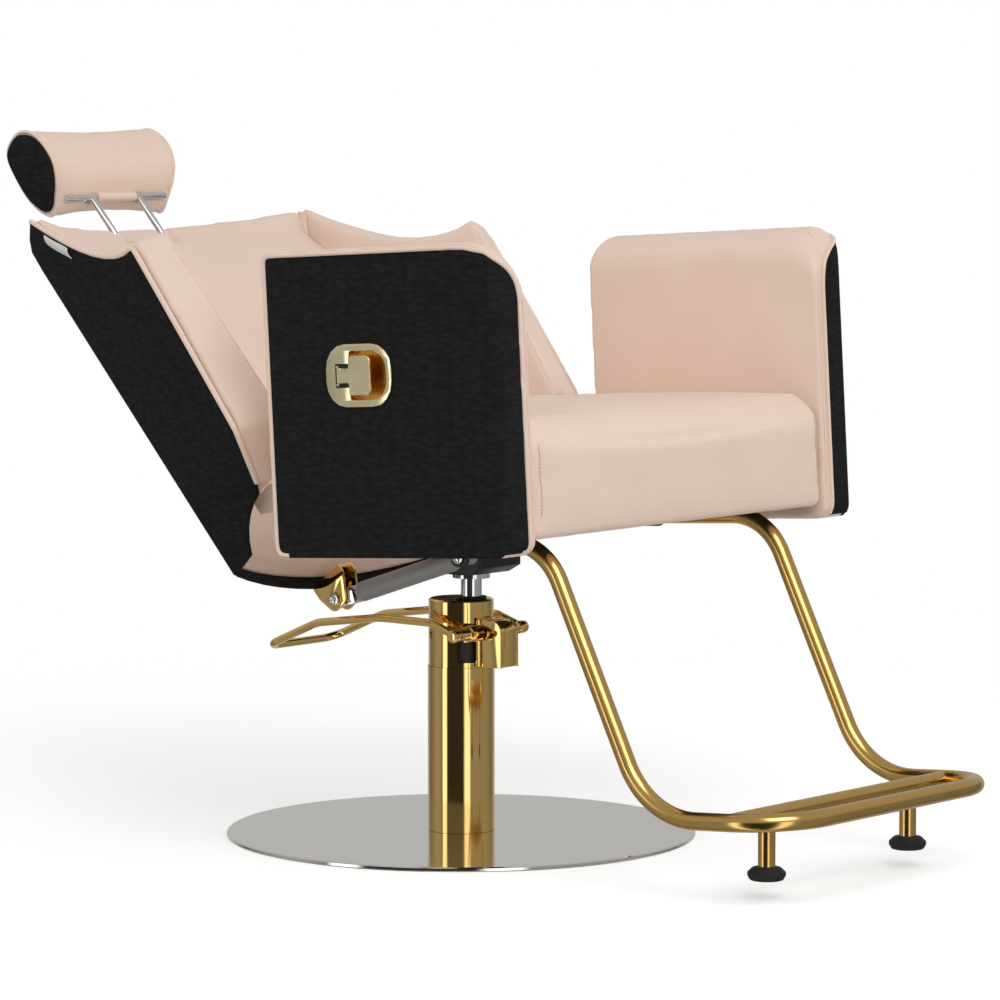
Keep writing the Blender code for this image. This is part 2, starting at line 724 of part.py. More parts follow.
def cover_tool(name, sign, margin):
    tool = cutter(name, cover_slab(sign, margin), seat)
    combine(tool, cutter(name + "_return", cover_return(sign, margin), seat), "UNION")
    return tool


well_low = LATCH_LOW + WELL_MARGIN
well_high = LATCH_HIGH - WELL_MARGIN


def well_outline(inset):
    """Outline of the latch's well: round at the front, squarer at the paddle's neck."""
    low, high = well_low + inset, well_high - inset
    front, rear = WELL_FRONT + inset, WELL_REAR - inset
    return rounded_outline([
        (front, low, WELL_ROUND - inset), (rear, low, WELL_NECK - inset),
        (rear, high, WELL_NECK - inset), (front, high, WELL_ROUND - inset),
    ], 6)


# Arms: a blush body over an inner core, and a black cover on the outside and front
for side, sign in (("right", -1), ("left", 1)):
    arm_pad = add("arm_pad_" + side, arm_solid(sign), blush_leather, seat)
    combine(arm_pad, cover_tool("pad_tool_" + side, sign, GAP))
    arm_panel = add("arm_panel_" + side, arm_solid(sign), black_cloth, seat)
    combine(arm_panel, cover_tool("panel_tool_" + side, sign, 0.0), "INTERSECT")
    if side == "right":
        pocket = cutter("latch_pocket", prism(well_outline(-GAP), "X", -ARM_OUTER - 0.02,
                                              -ARM_OUTER + WELL_DEPTH + GAP), seat)
        combine(arm_pad, pocket)
        combine(arm_panel, pocket)

# Latch: a plate with a well behind it, and a paddle that swings out on an upright pin
latch_face = -ARM_OUTER - GAP
latch_plate = add("latch_plate", prism(rounded_outline([
    (LATCH_FRONT, LATCH_LOW, LATCH_CORNER), (LATCH_REAR, LATCH_LOW, LATCH_CORNER),
    (LATCH_REAR, LATCH_HIGH, LATCH_CORNER), (LATCH_FRONT, LATCH_HIGH, LATCH_CORNER),
]), "X", latch_face - LATCH_THICK, latch_face), pale_gold, seat)
combine(latch_plate, cutter("well_mouth", prism(well_outline(WELL_WALL), "X", latch_face - 2 * LATCH_THICK,
                                               latch_face + LATCH_THICK), seat))
latch_cup = add("latch_cup", prism(well_outline(0.0), "X", latch_face + GAP, latch_face + WELL_DEPTH),
                amber, seat)
combine(latch_cup, cutter("cup_inside", prism(well_outline(WELL_WALL), "X", latch_face - WELL_DEPTH,
                                              latch_face + WELL_DEPTH - WELL_WALL), seat))
latch_middle = (LATCH_LOW + LATCH_HIGH) / 2
paddle_inner = latch_face - LATCH_THICK - GAP
latch = frame_empty("latch_axis", (paddle_inner - PADDLE_THICK / 2, PADDLE_PIVOT, latch_middle), parent=seat)
stem_half, body_half = PADDLE_STEM / 2, PADDLE_HEIGHT / 2
knuckle = PADDLE_THICK / 2
paddle_tail = knuckle - GAP
latch_paddle = add("latch_paddle", prism(rounded_outline([
    (PADDLE_END - PADDLE_PIVOT, -body_half, 0.006), (PADDLE_NECK - PADDLE_PIVOT, -body_half, 0.003),
    (PADDLE_NECK - PADDLE_PIVOT, -stem_half, 0.002), (paddle_tail, -stem_half, 0),
    (paddle_tail, stem_half, 0), (PADDLE_NECK - PADDLE_PIVOT, stem_half, 0.002),
    (PADDLE_NECK - PADDLE_PIVOT, body_half, 0.003), (PADDLE_END - PADDLE_PIVOT, body_half, 0.006),
], 3), "X", -PADDLE_THICK / 2, PADDLE_THICK / 2), pale_gold, latch)
soften(latch_paddle, 0.0008, 1)
combine(latch_paddle, cutter("paddle_bore", rod(LATCH_PIN_RADIUS / 2 + GAP, "Z", -PADDLE_HEIGHT,
                                                PADDLE_HEIGHT, (0.0, 0.0), 12), latch))
pin_reach = stem_half + 2 * WELL_WALL
latch_pin = add("latch_pin", rod(LATCH_PIN_RADIUS / 2, "Z", -pin_reach, pin_reach, (0.0, 0.0), 12),
                pale_gold, latch)
for end in (-1, 1):
    lug_low, lug_high = sorted((end * (stem_half + GAP), end * (stem_half + 2 * WELL_WALL)))
    lug = cutter("latch_lug_%d" % end, box((-knuckle, -knuckle, lug_low),
                                           (knuckle, knuckle, lug_high)), latch)
    combine(latch_pin, lug, "UNION")

# Footrest: one bent tube, a cross bar behind its front run, and two posts with rubber feet
tube_side = [
    ((-TUBE_HALF_WIDTH, TUBE_REAR, TUBE_TOP), 0.0),
    ((-TUBE_HALF_WIDTH, TUBE_KNEE, TUBE_TOP), TUBE_BEND),
    ((-TUBE_HALF_WIDTH, TUBE_HEEL, TUBE_LOW), TUBE_BEND),
    ((-TUBE_HALF_WIDTH, TUBE_FRONT, TUBE_LOW), TUBE_CORNER),
]
tube_corners = tube_side + [((-x, y, z), r) for (x, y, z), r in reversed(tube_side)]
add("footrest_tube", sweep(bent_path(tube_corners, 7), TUBE_RADIUS, 14), satin_gold, seat, 50)
corner_past = TUBE_FRONT + TUBE_CORNER - BAR_Y
bar_reach = TUBE_HALF_WIDTH - TUBE_CORNER + math.sqrt(TUBE_CORNER ** 2 - corner_past ** 2)
footrest_bar = add("footrest_bar", rod(BAR_RADIUS, "X", -bar_reach, bar_reach, (BAR_Y, TUBE_LOW), 16),
                   satin_gold, seat)
combine(footrest_bar, cutter("bar_ends", sweep(bent_path(tube_corners, 7), TUBE_RADIUS + GAP, 14), seat))
post_y, post_z = seat_to_world(BAR_Y, TUBE_LOW)
post_top = post_z - BAR_RADIUS - GAP
for side, sign in (("right", -1), ("left", 1)):
    centre = (sign * POST_HALF_SPACING, post_y)
    pad_top = PAD_FLOOR + PAD_HEIGHT
    add("foot_post_" + side, rod(POST_RADIUS, "Z", pad_top + GAP, post_top, centre, 24), satin_gold)
    add("foot_pad_" + side, turned([
        (0, PAD_FLOOR), (PAD_RADIUS * 0.86, PAD_FLOOR), (PAD_RADIUS, PAD_FLOOR + PAD_HEIGHT * 0.35),
        (PAD_RADIUS, PAD_FLOOR + PAD_HEIGHT * 0.6), (PAD_RADIUS * 0.75, pad_top - 0.001),
        (PAD_RADIUS * 0.6, pad_top), (0, pad_top),
    ], centre=centre, segments=28), rubber)

# Saddle clamps that hold the tube up against the seat frame
saddle = TUBE_RADIUS + GAP
for side, sign in (("right", -1), ("left", 1)):
    middle = sign * TUBE_HALF_WIDTH
    flange = saddle + CLAMP_WALL + 0.012
    clamp_top = frame_low - GAP
    clamp = add("tube_clamp_" + side, prism(rounded_outline([
        (middle - flange, clamp_top - CLAMP_WALL, 0.001), (middle - saddle - CLAMP_WALL, clamp_top - CLAMP_WALL, 0),
        (middle - saddle - CLAMP_WALL, TUBE_TOP - saddle - CLAMP_WALL, saddle),
        (middle + saddle + CLAMP_WALL, TUBE_TOP - saddle - CLAMP_WALL, saddle),
        (middle + saddle + CLAMP_WALL, clamp_top - CLAMP_WALL, 0), (middle + flange, clamp_top - CLAMP_WALL, 0.001),
        (middle + flange, clamp_top, 0), (middle - flange, clamp_top, 0),
    ]), "Y", CLAMP_Y - CLAMP_LENGTH / 2, CLAMP_Y + CLAMP_LENGTH / 2), black_paint, seat)
    combine(clamp, cutter("clamp_bore_" + side, prism(rounded_outline([
        (middle - saddle, TUBE_TOP - saddle, saddle * 0.98), (middle + saddle, TUBE_TOP - saddle, saddle * 0.98),
        (middle + saddle, clamp_top + CLAMP_WALL, 0), (middle - saddle, clamp_top + CLAMP_WALL, 0),
    ], 8), "Y", CLAMP_Y - CLAMP_LENGTH, CLAMP_Y + CLAMP_LENGTH), seat))

# Recline hinges: black ears that stand on the seat frame, plates on the back, a headed pin in each pair
ear_y, ear_z = world_to_seat(AXIS_Y, AXIS_Z)
eye_y, eye_z = world_to_back(AXIS_Y, AXIS_Z)
arm_x = EAR_X + EAR_THICK + RUN
plate_top = WING_FOOT[2] - GAP
for side, sign in (("right", -1), ("left", 1)):
    ear_sides = sorted((sign * EAR_X, sign * (EAR_X + EAR_THICK)))
    eye = [(ear_y + EYE_RADIUS * math.cos(math.radians(a)), ear_z + EYE_RADIUS * math.sin(math.radians(a)))
           for a in range(0, 181, 15)]
    ear = add("hinge_ear_" + side, prism(
        eye + [(ear_y - EYE_RADIUS, frame_top + GAP), (ear_y + EYE_RADIUS, frame_top + GAP)],
        "X", *ear_sides), black_paint, seat)
    combine(ear, cutter("ear_bore_" + side, rod(HINGE_PIN_RADIUS + GAP, "X", ear_sides[0] - EAR_THICK,
                                                ear_sides[1] + EAR_THICK, (ear_y, ear_z), 20), seat))
    tip = sign * (arm_x + EAR_THICK + RUN)
    shank = sign * (EAR_X - GAP)
    head = shank - sign * HINGE_HEAD
    add("hinge_pin_" + side, turned([
        (0, head), (HINGE_HEAD_RADIUS, head), (HINGE_HEAD_RADIUS, shank), (HINGE_PIN_RADIUS, shank),
        (HINGE_PIN_RADIUS, tip), (0, tip),
    ], "X", (ear_y, ear_z), 20), chrome, seat)
    plate_sides = sorted((sign * arm_x, sign * (arm_x + EAR_THICK)))
    eye = [(eye_y + EYE_RADIUS * math.cos(math.radians(a)), eye_z + EYE_RADIUS * math.sin(math.radians(a)))
           for a in range(150, 286, 15)]
    hinge_arm = add("hinge_arm_" + side, prism(
        eye + [(HINGE_ARM_REAR, plate_top - HINGE_ARM_DEPTH), (HINGE_ARM_REAR, plate_top),
               (WING_FOOT[1] + 0.010, plate_top)],
        "X", *plate_sides), black_paint, back)
    combine(hinge_arm, cutter("arm_bore_" + side, rod(HINGE_PIN_RADIUS + RUN, "X", plate_sides[0] - EAR_THICK,
                                                      plate_sides[1] + EAR_THICK, (eye_y, eye_z), 20), back))


def between_points(first, second, share):
    return [a + (b - a) * share for a, b in zip(first, second)]


KNEE_SHARE = (WING_KNEE[2] - WING_FOOT[2]) / (WING_TIP[2] - WING_FOOT[2])
WING_SHARES = (0.0, KNEE_SHARE / 2, KNEE_SHARE, 0.28, 0.45, 0.62, 0.78, 0.88, 0.94, 0.97, 1.0)
WING_COLUMNS = 8
REAR_STOP = 0.962


def along_front(share, foot, knee, tip):
    """A value on the wing's front edge, which turns at its knee."""
    if share < KNEE_SHARE:
        return between_points(foot, knee, share / KNEE_SHARE)
    return between_points(knee, tip, (share - KNEE_SHARE) / (1 - KNEE_SHARE))


def roll(share):
    """How far the shell's top leans forward near its corners."""
    return CORNER_ROLL * (max(share - ROLL_START, 0.0) / (1 - ROLL_START)) ** 2


def wing_point(share, across):
    """Half width, depth and height on the black side: share climbs it, across runs from front to rear."""
    width, depth, height = along_front(share, WING_FOOT, WING_KNEE, WING_TIP)
    rear_height = WING_FOOT[2] + (CORNER_Z - WING_FOOT[2]) * share
    rear_depth = REAR_DEPTH - roll(share)
    return (width + (REAR_HALF_WIDTH - width) * across, depth + (rear_depth - depth) * across,
            height + (rear_height - height) * across ** TOP_POWER)


def side_grid(sign, inset):
    """One face of a black side, from the swept lower edge to the top."""
    grid = []
    low = math.asin(SHELL_FOOT / SWEEP_RADIUS)
    for k in range(6):
        angle = low + (math.pi / 2 - low) * k / 5
        front, height = SWEEP_RADIUS * math.cos(angle), SWEEP_RADIUS * math.sin(angle)
        flare = (WING_FOOT[0] - REAR_HALF_WIDTH) * (REAR_DEPTH - front) / (REAR_DEPTH - WING_FOOT[1])
        row = []
        for c in range(WING_COLUMNS + 1):
            across = c / WING_COLUMNS
            width = REAR_HALF_WIDTH + flare * (1 - across)
            row.append((sign * (width - inset), front + (REAR_DEPTH - front) * across, height))
        grid.append(row)
    for share in WING_SHARES:
        stops = [FRONT_TRIM + (1 - FRONT_TRIM) * c / WING_COLUMNS for c in range(WING_COLUMNS + 1)]
        points = [wing_point(share, across) for across in stops]
        grid.append([(sign * (width - inset), y, z) for width, y, z in points])
    return grid


def wing_pad_grid(sign, inside):
    """One face of a wing's padding: against the black side, or towards the sitter."""
    grid = []
    for share in WING_SHARES + (1.0,):
        capped = len(grid) == len(WING_SHARES)
        seam_x, seam_y = along_front(share, SEAM_FOOT, SEAM_KNEE, SEAM_TIP)
        row = []
        for c in range(WING_COLUMNS + 1):
            across = min(c / WING_COLUMNS, REAR_STOP)
            width, y, z = wing_point(share, across)
            x = width - SIDE_THICK - SIDE_CLEAR
            if inside:
                corner_x = BACK_PAD_HALF_WIDTH + GAP
                inward = seam_x + (corner_x - seam_x) * min(across / 0.8, 1.0)
                x = min(inward, x - BACK_PAD_HEM / 2)
                y += (seam_y - wing_point(share, 0.0)[1]) * (1 - across) ** 2
            rise = PAD_OVERHANG + PAD_CORNER_RISE * across ** 6 if capped else 0.0
            row.append((sign * x, y, z + rise))
        grid.append(row)
    return grid


# Back: black sides that sweep back under the seat, with thick wings inside them
for side, sign in (("right", -1), ("left", 1)):
    add("back_side_" + side, layered(side_grid(sign, 0.0), side_grid(sign, SIDE_THICK)), black_cloth, back, 50)
    wing = add("wing_pad_" + side, layered(wing_pad_grid(sign, False), wing_pad_grid(sign, True)),
               blush_leather, back, 60)
    soften(wing, 0.008, 2, 50.0)


def panel_point(x, share, inset, rise=0.0):
    """A point of the rear wall: it bulges between the corners and leans forward at their tops."""
    swell = 1 - (x / REAR_HALF_WIDTH) ** 2
    top = CORNER_Z - PAD_OVERHANG + PANEL_RISE * swell
    depth = REAR_DEPTH + PANEL_BULGE * swell - roll(share) * (1 - swell)
    return (x, depth - inset, SHELL_FOOT + (top - SHELL_FOOT) * share + rise)


PANEL_SHARES = (0.0, 0.1, 0.22, 0.36, 0.5, 0.65, 0.8, 0.88, 0.94, 0.97, 1.0)
PANEL_COLUMNS = 14


def panel_row(half, share, inset, rise=0.0):
    spots = [half * (2 * c / PANEL_COLUMNS - 1) for c in range(PANEL_COLUMNS + 1)]
    return [panel_point(x, share, inset, rise) for x in spots]


def pad_row(share, front, rise=0.0):
    """A row of the back pad: thin at its hem, and fullest across the lower back."""
    fill = min(max((share - 0.05) / 0.3, 0.0), 1.0)
    fill *= 1 - 0.85 * (max(share - 0.6, 0.0) / 0.4) ** 2
    thick = BACK_PAD_HEM + (BACK_PAD_THICK - BACK_PAD_HEM) * fill * fill * (3 - 2 * fill)
    row = panel_row(BACK_PAD_HALF_WIDTH, share, PANEL_SHEET + PANEL_CLEAR, rise)
    if not front:
        return row
    bowed = []
    for c, (x, y, z) in enumerate(row):
        crown = BACK_PAD_CROWN * math.sin(math.pi * c / PANEL_COLUMNS) * math.sin(math.pi * share)
        bowed.append((x, y - thick - crown, z))
    return bowed


panel_half = REAR_HALF_WIDTH - SIDE_THICK - GAP
add("back_panel", layered([panel_row(panel_half, share, 0.0) for share in PANEL_SHARES],
                          [panel_row(panel_half, share, PANEL_SHEET) for share in PANEL_SHARES]),
    black_cloth, back, 50)
pad_shares = (BACK_PAD_FOOT_SHARE,) + PANEL_SHARES[1:]
pad_faces = [[pad_row(share, front) for share in pad_shares] + [pad_row(1.0, front, PAD_OVERHANG)]
             for front in (False, True)]
back_pad = add("back_pad", layered(*pad_faces), blush_leather, back, 60)
soften(back_pad, 0.004, 2, 50.0)

# Post sleeves sunk in the back pad, for the headrest's two posts
sleeve_top = panel_point(POST_X, 1.0, 0.0, PAD_OVERHANG)[2] - 0.012
sleeve_inner = HEAD_POST_RADIUS + GAP
sleeve_outer = sleeve_inner + SLEEVE_WALL
for side, sign in (("right", -1), ("left", 1)):
    centre = (sign * POST_X, POST_DEPTH)
    add("post_sleeve_" + side, ring(sleeve_inner, sleeve_outer, "Z", sleeve_top - SLEEVE_LENGTH, sleeve_top,
                                    centre, 16), black_paint, back)
    combine(back_pad, cutter("sleeve_bore_" + side, rod(sleeve_outer + GAP, "Z", sleeve_top - SLEEVE_LENGTH - GAP,
                                                        sleeve_top + 0.06, centre, 16), back))

# Gas spring: eye and cylinder on the seat's lug, rod and clevis on the back's bracket
spring_run = Vector((0.0, SPRING_END_Y - SPRING_Y, SPRING_END_Z - SPRING_Z))
spring_length = spring_run.length
spring_tilt = math.atan2(spring_run.z, spring_run.y)
spring = frame_empty("spring_axis", (SPRING_X, SPRING_Y, SPRING_Z), spring_tilt)
spring_cylinder = add("spring_cylinder", turned([
    (0, SPRING_EYE * 0.6), (SPRING_RADIUS * 0.55, SPRING_EYE * 0.6), (SPRING_RADIUS, SPRING_EYE + 0.012),
    (SPRING_RADIUS, SPRING_BODY - 0.003), (SPRING_RADIUS - 0.002, SPRING_BODY), (SPRING_ROD_RADIUS + RUN, SPRING_BODY),
    (SPRING_ROD_RADIUS + RUN, SPRING_BODY * 0.55), (0, SPRING_BODY * 0.55),
], "Y", (0.0, 0.0), 24), grey_paint, spring)
combine(spring_cylinder, cutter("spring_eye", rod(SPRING_EYE, "X", -SPRING_EYE * 0.9, SPRING_EYE * 0.9,
                                                  (0.0, 0.0), 20), spring), "UNION")
combine(spring_cylinder, cutter("spring_eye_bore", rod(SPRING_PIN_RADIUS + RUN, "X", -2 * SPRING_EYE,
                                                       2 * SPRING_EYE, (0.0, 0.0), 20), spring))
clevis_near = SPRING_BODY + 0.008
spring_rod = add("spring_rod", rod(SPRING_ROD_RADIUS, "Y", SPRING_BODY * 0.65, clevis_near + 0.004,
                                   (0.0, 0.0), 16), chrome, spring)
clevis = cutter("clevis_body", box((-CLEVIS_HALF_WIDTH, clevis_near, -CLEVIS_BACK),
                                   (CLEVIS_HALF_WIDTH, spring_length + CLEVIS_BACK, CLEVIS_BACK)), spring)
combine(spring_rod, clevis, "UNION")
combine(spring_rod, cutter("clevis_bore", rod(SPRING_PIN_RADIUS + SPRING_SLACK, "X", -2 * CLEVIS_HALF_WIDTH,
                                              2 * CLEVIS_HALF_WIDTH, (spring_length, 0.0), 20), spring))

# Lugs under the seat frame that take the spring's front pin
lug_inner = SPRING_EYE * 0.9 + RUN
lug_outer = lug_inner + LUG_THICK
lug_front, lug_rear = SPRING_Y - 0.013, SPRING_Y + 0.013
spring_mount = add("spring_mount", prism(rounded_outline([
    (lug_front, SPRING_Z - 0.012, 0.009), (lug_rear, SPRING_Z - 0.012, 0.009),
    (lug_rear, frame_underside(lug_rear), 0), (lug_front, frame_underside(lug_front), 0),
]), "X", SPRING_X - lug_outer, SPRING_X + lug_outer), black_paint)
combine(spring_mount, cutter("lug_slot", box((SPRING_X - lug_inner, lug_front - 0.01, SPRING_Z - 0.03),
                                             (SPRING_X + lug_inner, lug_rear + 0.01, SPRING_Z + 0.0135))))
combine(spring_mount, cutter("lug_bore", rod(SPRING_PIN_RADIUS + GAP, "X", SPRING_X - 2 * lug_outer,
                                             SPRING_X + 2 * lug_outer, (SPRING_Y, SPRING_Z), 20)))
pin_head = 0.004


def headed_pin(reach, centre):
    """A pin along X with a wider head at its right-hand end, to hold plates that reach so far each way."""
    head_radius = SPRING_PIN_RADIUS + 0.003
    inner = SPRING_X - reach - GAP
    return turned([
        (0, inner - pin_head), (head_radius, inner - pin_head), (head_radius, inner), (SPRING_PIN_RADIUS, inner),
        (SPRING_PIN_RADIUS, SPRING_X + reach + GAP), (0, SPRING_X + reach + GAP),
    ], "X", centre, 20)


add("spring_front_pin", headed_pin(lug_outer, (SPRING_Y, SPRING_Z)), chrome)

# Bracket under the shell's lower edge for the spring's rear pin: two plates joined by a web
end_y, end_z = world_to_back(SPRING_END_Y, SPRING_END_Z)
plate_inner = CLEVIS_HALF_WIDTH + 2 * RUN
plate_outer = plate_inner + BRACKET_PLATE
shell_depth = panel_point(SPRING_X - plate_outer, 0.0, 0.0)[1]
bracket_top = SHELL_FOOT - GAP
bracket = add("spring_bracket", prism(rounded_outline([
    (shell_depth, bracket_top, 0), (end_y - 0.034, bracket_top, 0), (end_y - 0.034, bracket_top - 0.012, 0.006),
    (end_y - BRACKET_RADIUS, end_z - BRACKET_RADIUS, BRACKET_RADIUS * 0.9),
    (end_y + BRACKET_RADIUS, end_z - BRACKET_RADIUS, BRACKET_RADIUS * 0.9),
    (shell_depth, bracket_top - 0.016, 0.012),
]), "X", SPRING_X - plate_outer, SPRING_X + plate_outer), polished_gold, back)
combine(bracket, cutter("bracket_slot", box(
    (SPRING_X - plate_inner, end_y - 0.05, end_z - 0.06),
    (SPRING_X + plate_inner, end_y + 0.05, bracket_top - 0.006)), back))
combine(bracket, cutter("bracket_bore", rod(SPRING_PIN_RADIUS + GAP, "X", SPRING_X - 2 * plate_outer,
                                            SPRING_X + 2 * plate_outer, (end_y, end_z), 20), back))
add("spring_rear_pin", headed_pin(plate_outer, (end_y, end_z)), chrome, back)

# Headrest: two posts on a cross bar, and a drop-shaped pad that tilts on the bar
head = frame_empty("headrest_axis", (0.0, POST_DEPTH, HEAD_BAR_Z), parent=back)
headrest_frame = add("headrest_frame", rod(HEAD_BAR_RADIUS, "X", -HEAD_BAR_HALF, HEAD_BAR_HALF,
                                           (0.0, 0.0), 20), chrome, head)
for sign in (-1, 1):
    combine(headrest_frame, cutter("head_post_%d" % sign, rod(
        HEAD_POST_RADIUS, "Z", HEAD_POST_FOOT - HEAD_BAR_Z, HEAD_BAR_RADIUS * 0.4,
        (sign * POST_X, 0.0), 16), head), "UNION")
drop_keys = [
    (0.016, 0.106), (-0.008, 0.108), (-0.028, 0.092), (-0.036, 0.063), (-0.032, 0.036), (-0.018, 0.016),
    (0.002, 0.001), (0.018, -0.008), (0.031, -0.006), (0.038, 0.020), (0.036, 0.055), (0.030, 0.093),
]


def drop_profile(shrink):
    """The pad's side outline, drawn in towards its middle."""
    middle = Vector((0.0, HEAD_MIDDLE))
    return [tuple(middle + (Vector(p) - middle) * shrink) for p in smooth_loop(drop_keys, 3)]


def head_width(z):
    """Half width of the pad, which narrows towards its lower edge."""
    return HEAD_HALF_WIDTH - HEAD_TAPER * (max(HEAD_BELLY - z, 0.0) / HEAD_DROP) ** 2


def skin_rings(rings, ends):
    """A closed body through rings of points, its two ends drawn to a point each."""
    mesh_data = bmesh.new()
    verts = [[mesh_data.verts.new(p) for p in points] for points in rings]
    count = len(rings[0])
    for first, second in zip(verts, verts[1:]):
        for i in range(count):
            j = (i + 1) % count
            mesh_data.faces.new((first[i], first[j], second[j], second[i]))
    for rim, end in ((verts[0], ends[0]), (verts[-1], ends[1])):
        peak = mesh_data.verts.new(end)
        for i in range(count):
            mesh_data.faces.new((rim[i], rim[(i + 1) % count], peak))
    return mesh_data


def head_pad():
    """The pad: its top dips between its two full ends."""
    rings = []
    for share, shrink in ((-1.0, 1.0), (-0.75, 0.99), (-0.4, 0.956), (0.0, 0.94), (0.4, 0.956), (0.75, 0.99), (1.0, 1.0)):
        rings.append([(share * head_width(z), y, z) for y, z in drop_profile(shrink)])
    return skin_rings(rings, [(sign * HEAD_HALF_WIDTH, 0.0, HEAD_MIDDLE) for sign in (-1, 1)])


def head_end(sign):
    """A black disc that lies on one end of the pad."""
    rings, ends = [], []
    for lift in (GAP, GAP + HEAD_END_THICK):
        ring_points = []
        for (y, z), (_, rim_z) in zip(drop_profile(HEAD_END_SHRINK), drop_profile(1.0)):
            width = HEAD_HALF_WIDTH + (head_width(rim_z) - HEAD_HALF_WIDTH) * HEAD_END_SHRINK
            ring_points.append((sign * (width + lift), y, z))
        rings.append(ring_points)
        ends.append((sign * (HEAD_HALF_WIDTH + lift), 0.0, HEAD_MIDDLE))
    return skin_rings(rings, ends)


headrest_cushion = add("headrest_cushion", head_pad(), blush_leather, head, 50)
combine(headrest_cushion, cutter("bar_groove", rod(HEAD_BAR_RADIUS + RUN, "X", -HEAD_BAR_HALF - RUN,
                                                   HEAD_BAR_HALF + RUN, (0.0, 0.0), 20), head))
for sign in (-1, 1):
    combine(headrest_cushion, cutter("post_notch_%d" % sign, box(
        (sign * POST_X - 0.009, -0.012, -0.03), (sign * POST_X + 0.009, 0.012, 0.006)), head))
for side, sign in (("right", -1), ("left", 1)):
    add("headrest_end_" + side, head_end(sign), black_cloth, head)

# Release cable: it leaves the mount, hangs under the spring and climbs back to the seat frame
cable_x = MOUNT_HALF_WIDTH + 0.012
cable_y = 0.030
cable_top = frame_underside(cable_y)
cable_corners = [
    ((MOUNT_HALF_WIDTH + GAP, -0.030, 0.352), 0.0), ((cable_x, -0.030, 0.352), 0.008),
    ((cable_x, -0.008, 0.333), 0.012), ((cable_x, cable_y, 0.338), 0.014),
    ((cable_x, cable_y, cable_top), 0.0),
]
add("release_cable", sweep(bent_path(cable_corners), CABLE_RADIUS, 8), rubber)


def spring_pose(turn):
    """Length and slope of the spring when the back has turned upright by an angle."""
    dy, dz = SPRING_END_Y - AXIS_Y, SPRING_END_Z - AXIS_Z
    y = AXIS_Y + dy * math.cos(turn) - dz * math.sin(turn) - SPRING_Y
    z = AXIS_Z + dy * math.sin(turn) + dz * math.cos(turn) - SPRING_Z
    return math.hypot(y, z), math.atan2(z, y)


long_length, long_slope = spring_pose(TRAVEL)
print("spring turn ratio %.5f, stroke %.5f m, m per radian %.6f" % (
    (long_slope - spring_tilt) / TRAVEL, long_length - spring_length, (long_length - spring_length) / TRAVEL))
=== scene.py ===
import json
import math

import bmesh
import bpy
from mathutils import Matrix, Vector
from mathutils.bvhtree import BVHTree


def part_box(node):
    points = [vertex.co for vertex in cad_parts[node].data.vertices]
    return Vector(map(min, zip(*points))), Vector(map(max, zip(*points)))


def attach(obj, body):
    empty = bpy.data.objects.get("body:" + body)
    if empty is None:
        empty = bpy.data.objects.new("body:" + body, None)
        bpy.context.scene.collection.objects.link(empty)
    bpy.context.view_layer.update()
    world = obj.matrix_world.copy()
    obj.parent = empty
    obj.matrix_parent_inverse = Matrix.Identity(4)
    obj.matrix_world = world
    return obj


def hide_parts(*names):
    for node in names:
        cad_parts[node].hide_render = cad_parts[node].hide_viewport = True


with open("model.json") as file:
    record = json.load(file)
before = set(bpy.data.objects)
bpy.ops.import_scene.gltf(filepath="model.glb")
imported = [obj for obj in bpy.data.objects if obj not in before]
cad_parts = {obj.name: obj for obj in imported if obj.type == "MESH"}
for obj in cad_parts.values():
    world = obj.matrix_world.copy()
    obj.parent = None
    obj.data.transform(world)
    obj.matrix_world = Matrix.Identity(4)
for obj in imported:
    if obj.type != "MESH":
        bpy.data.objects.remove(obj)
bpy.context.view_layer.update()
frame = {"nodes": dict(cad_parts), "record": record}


# Floor plate: a 6 mm disc of stainless steel, turned and mirror-polished, that the column stands on.
# The polish leaves faint rings and hand marks that only show in the reflections.
def linear(hex_colour):
    """sRGB hex text to linear RGBA."""
    parts = [int(hex_colour[i:i + 2], 16) / 255 for i in (0, 2, 4)]
    return tuple(p / 12.92 if p <= 0.04045 else ((p + 0.055) / 1.055) ** 2.4 for p in parts) + (1.0,)


def put(tree, kind, inputs=None, **settings):
    """Adds a node with its settings; each input is a value or another node's socket."""
    made = tree.nodes.new(kind)
    for key, value in settings.items():
        setattr(made, key, value)
    for key, value in (inputs or {}).items():
        if isinstance(value, bpy.types.NodeSocket):
            tree.links.new(value, made.inputs[key])
        else:
            made.inputs[key].default_value = value
    return made


def new_finish(name, colour, roughness, metallic=0.0):
    """Starts a material: its tree, its shader and the Object coordinates that its patterns read."""
    look = bpy.data.materials.new(name)
    look.use_nodes = True
    tree = look.node_tree
    shader = tree.nodes["Principled BSDF"]
    shader.inputs["Base Color"].default_value = linear(colour)
    shader.inputs["Roughness"].default_value = roughness
    shader.inputs["Metallic"].default_value = metallic
    place = put(tree, "ShaderNodeTexCoord").outputs["Object"]
    return look, tree, shader, place


def plated(name, colour, smooth, dull, mark_size):
    """Plated metal whose polish varies in patches of about mark_size metres."""
    look, tree, shader, place = new_finish(name, colour, smooth, 1.0)
    marks = put(tree, "ShaderNodeTexNoise", {"Vector": place, "Scale": 1 / mark_size, "Detail": 4.0})
    polish = put(tree, "ShaderNodeMapRange", {
        "Value": marks.outputs["Fac"], "From Min": 0.35, "From Max": 0.7, "To Min": smooth, "To Max": dull,
    })
    tree.links.new(polish.outputs["Result"], shader.inputs["Roughness"])
    return look, tree, shader, place


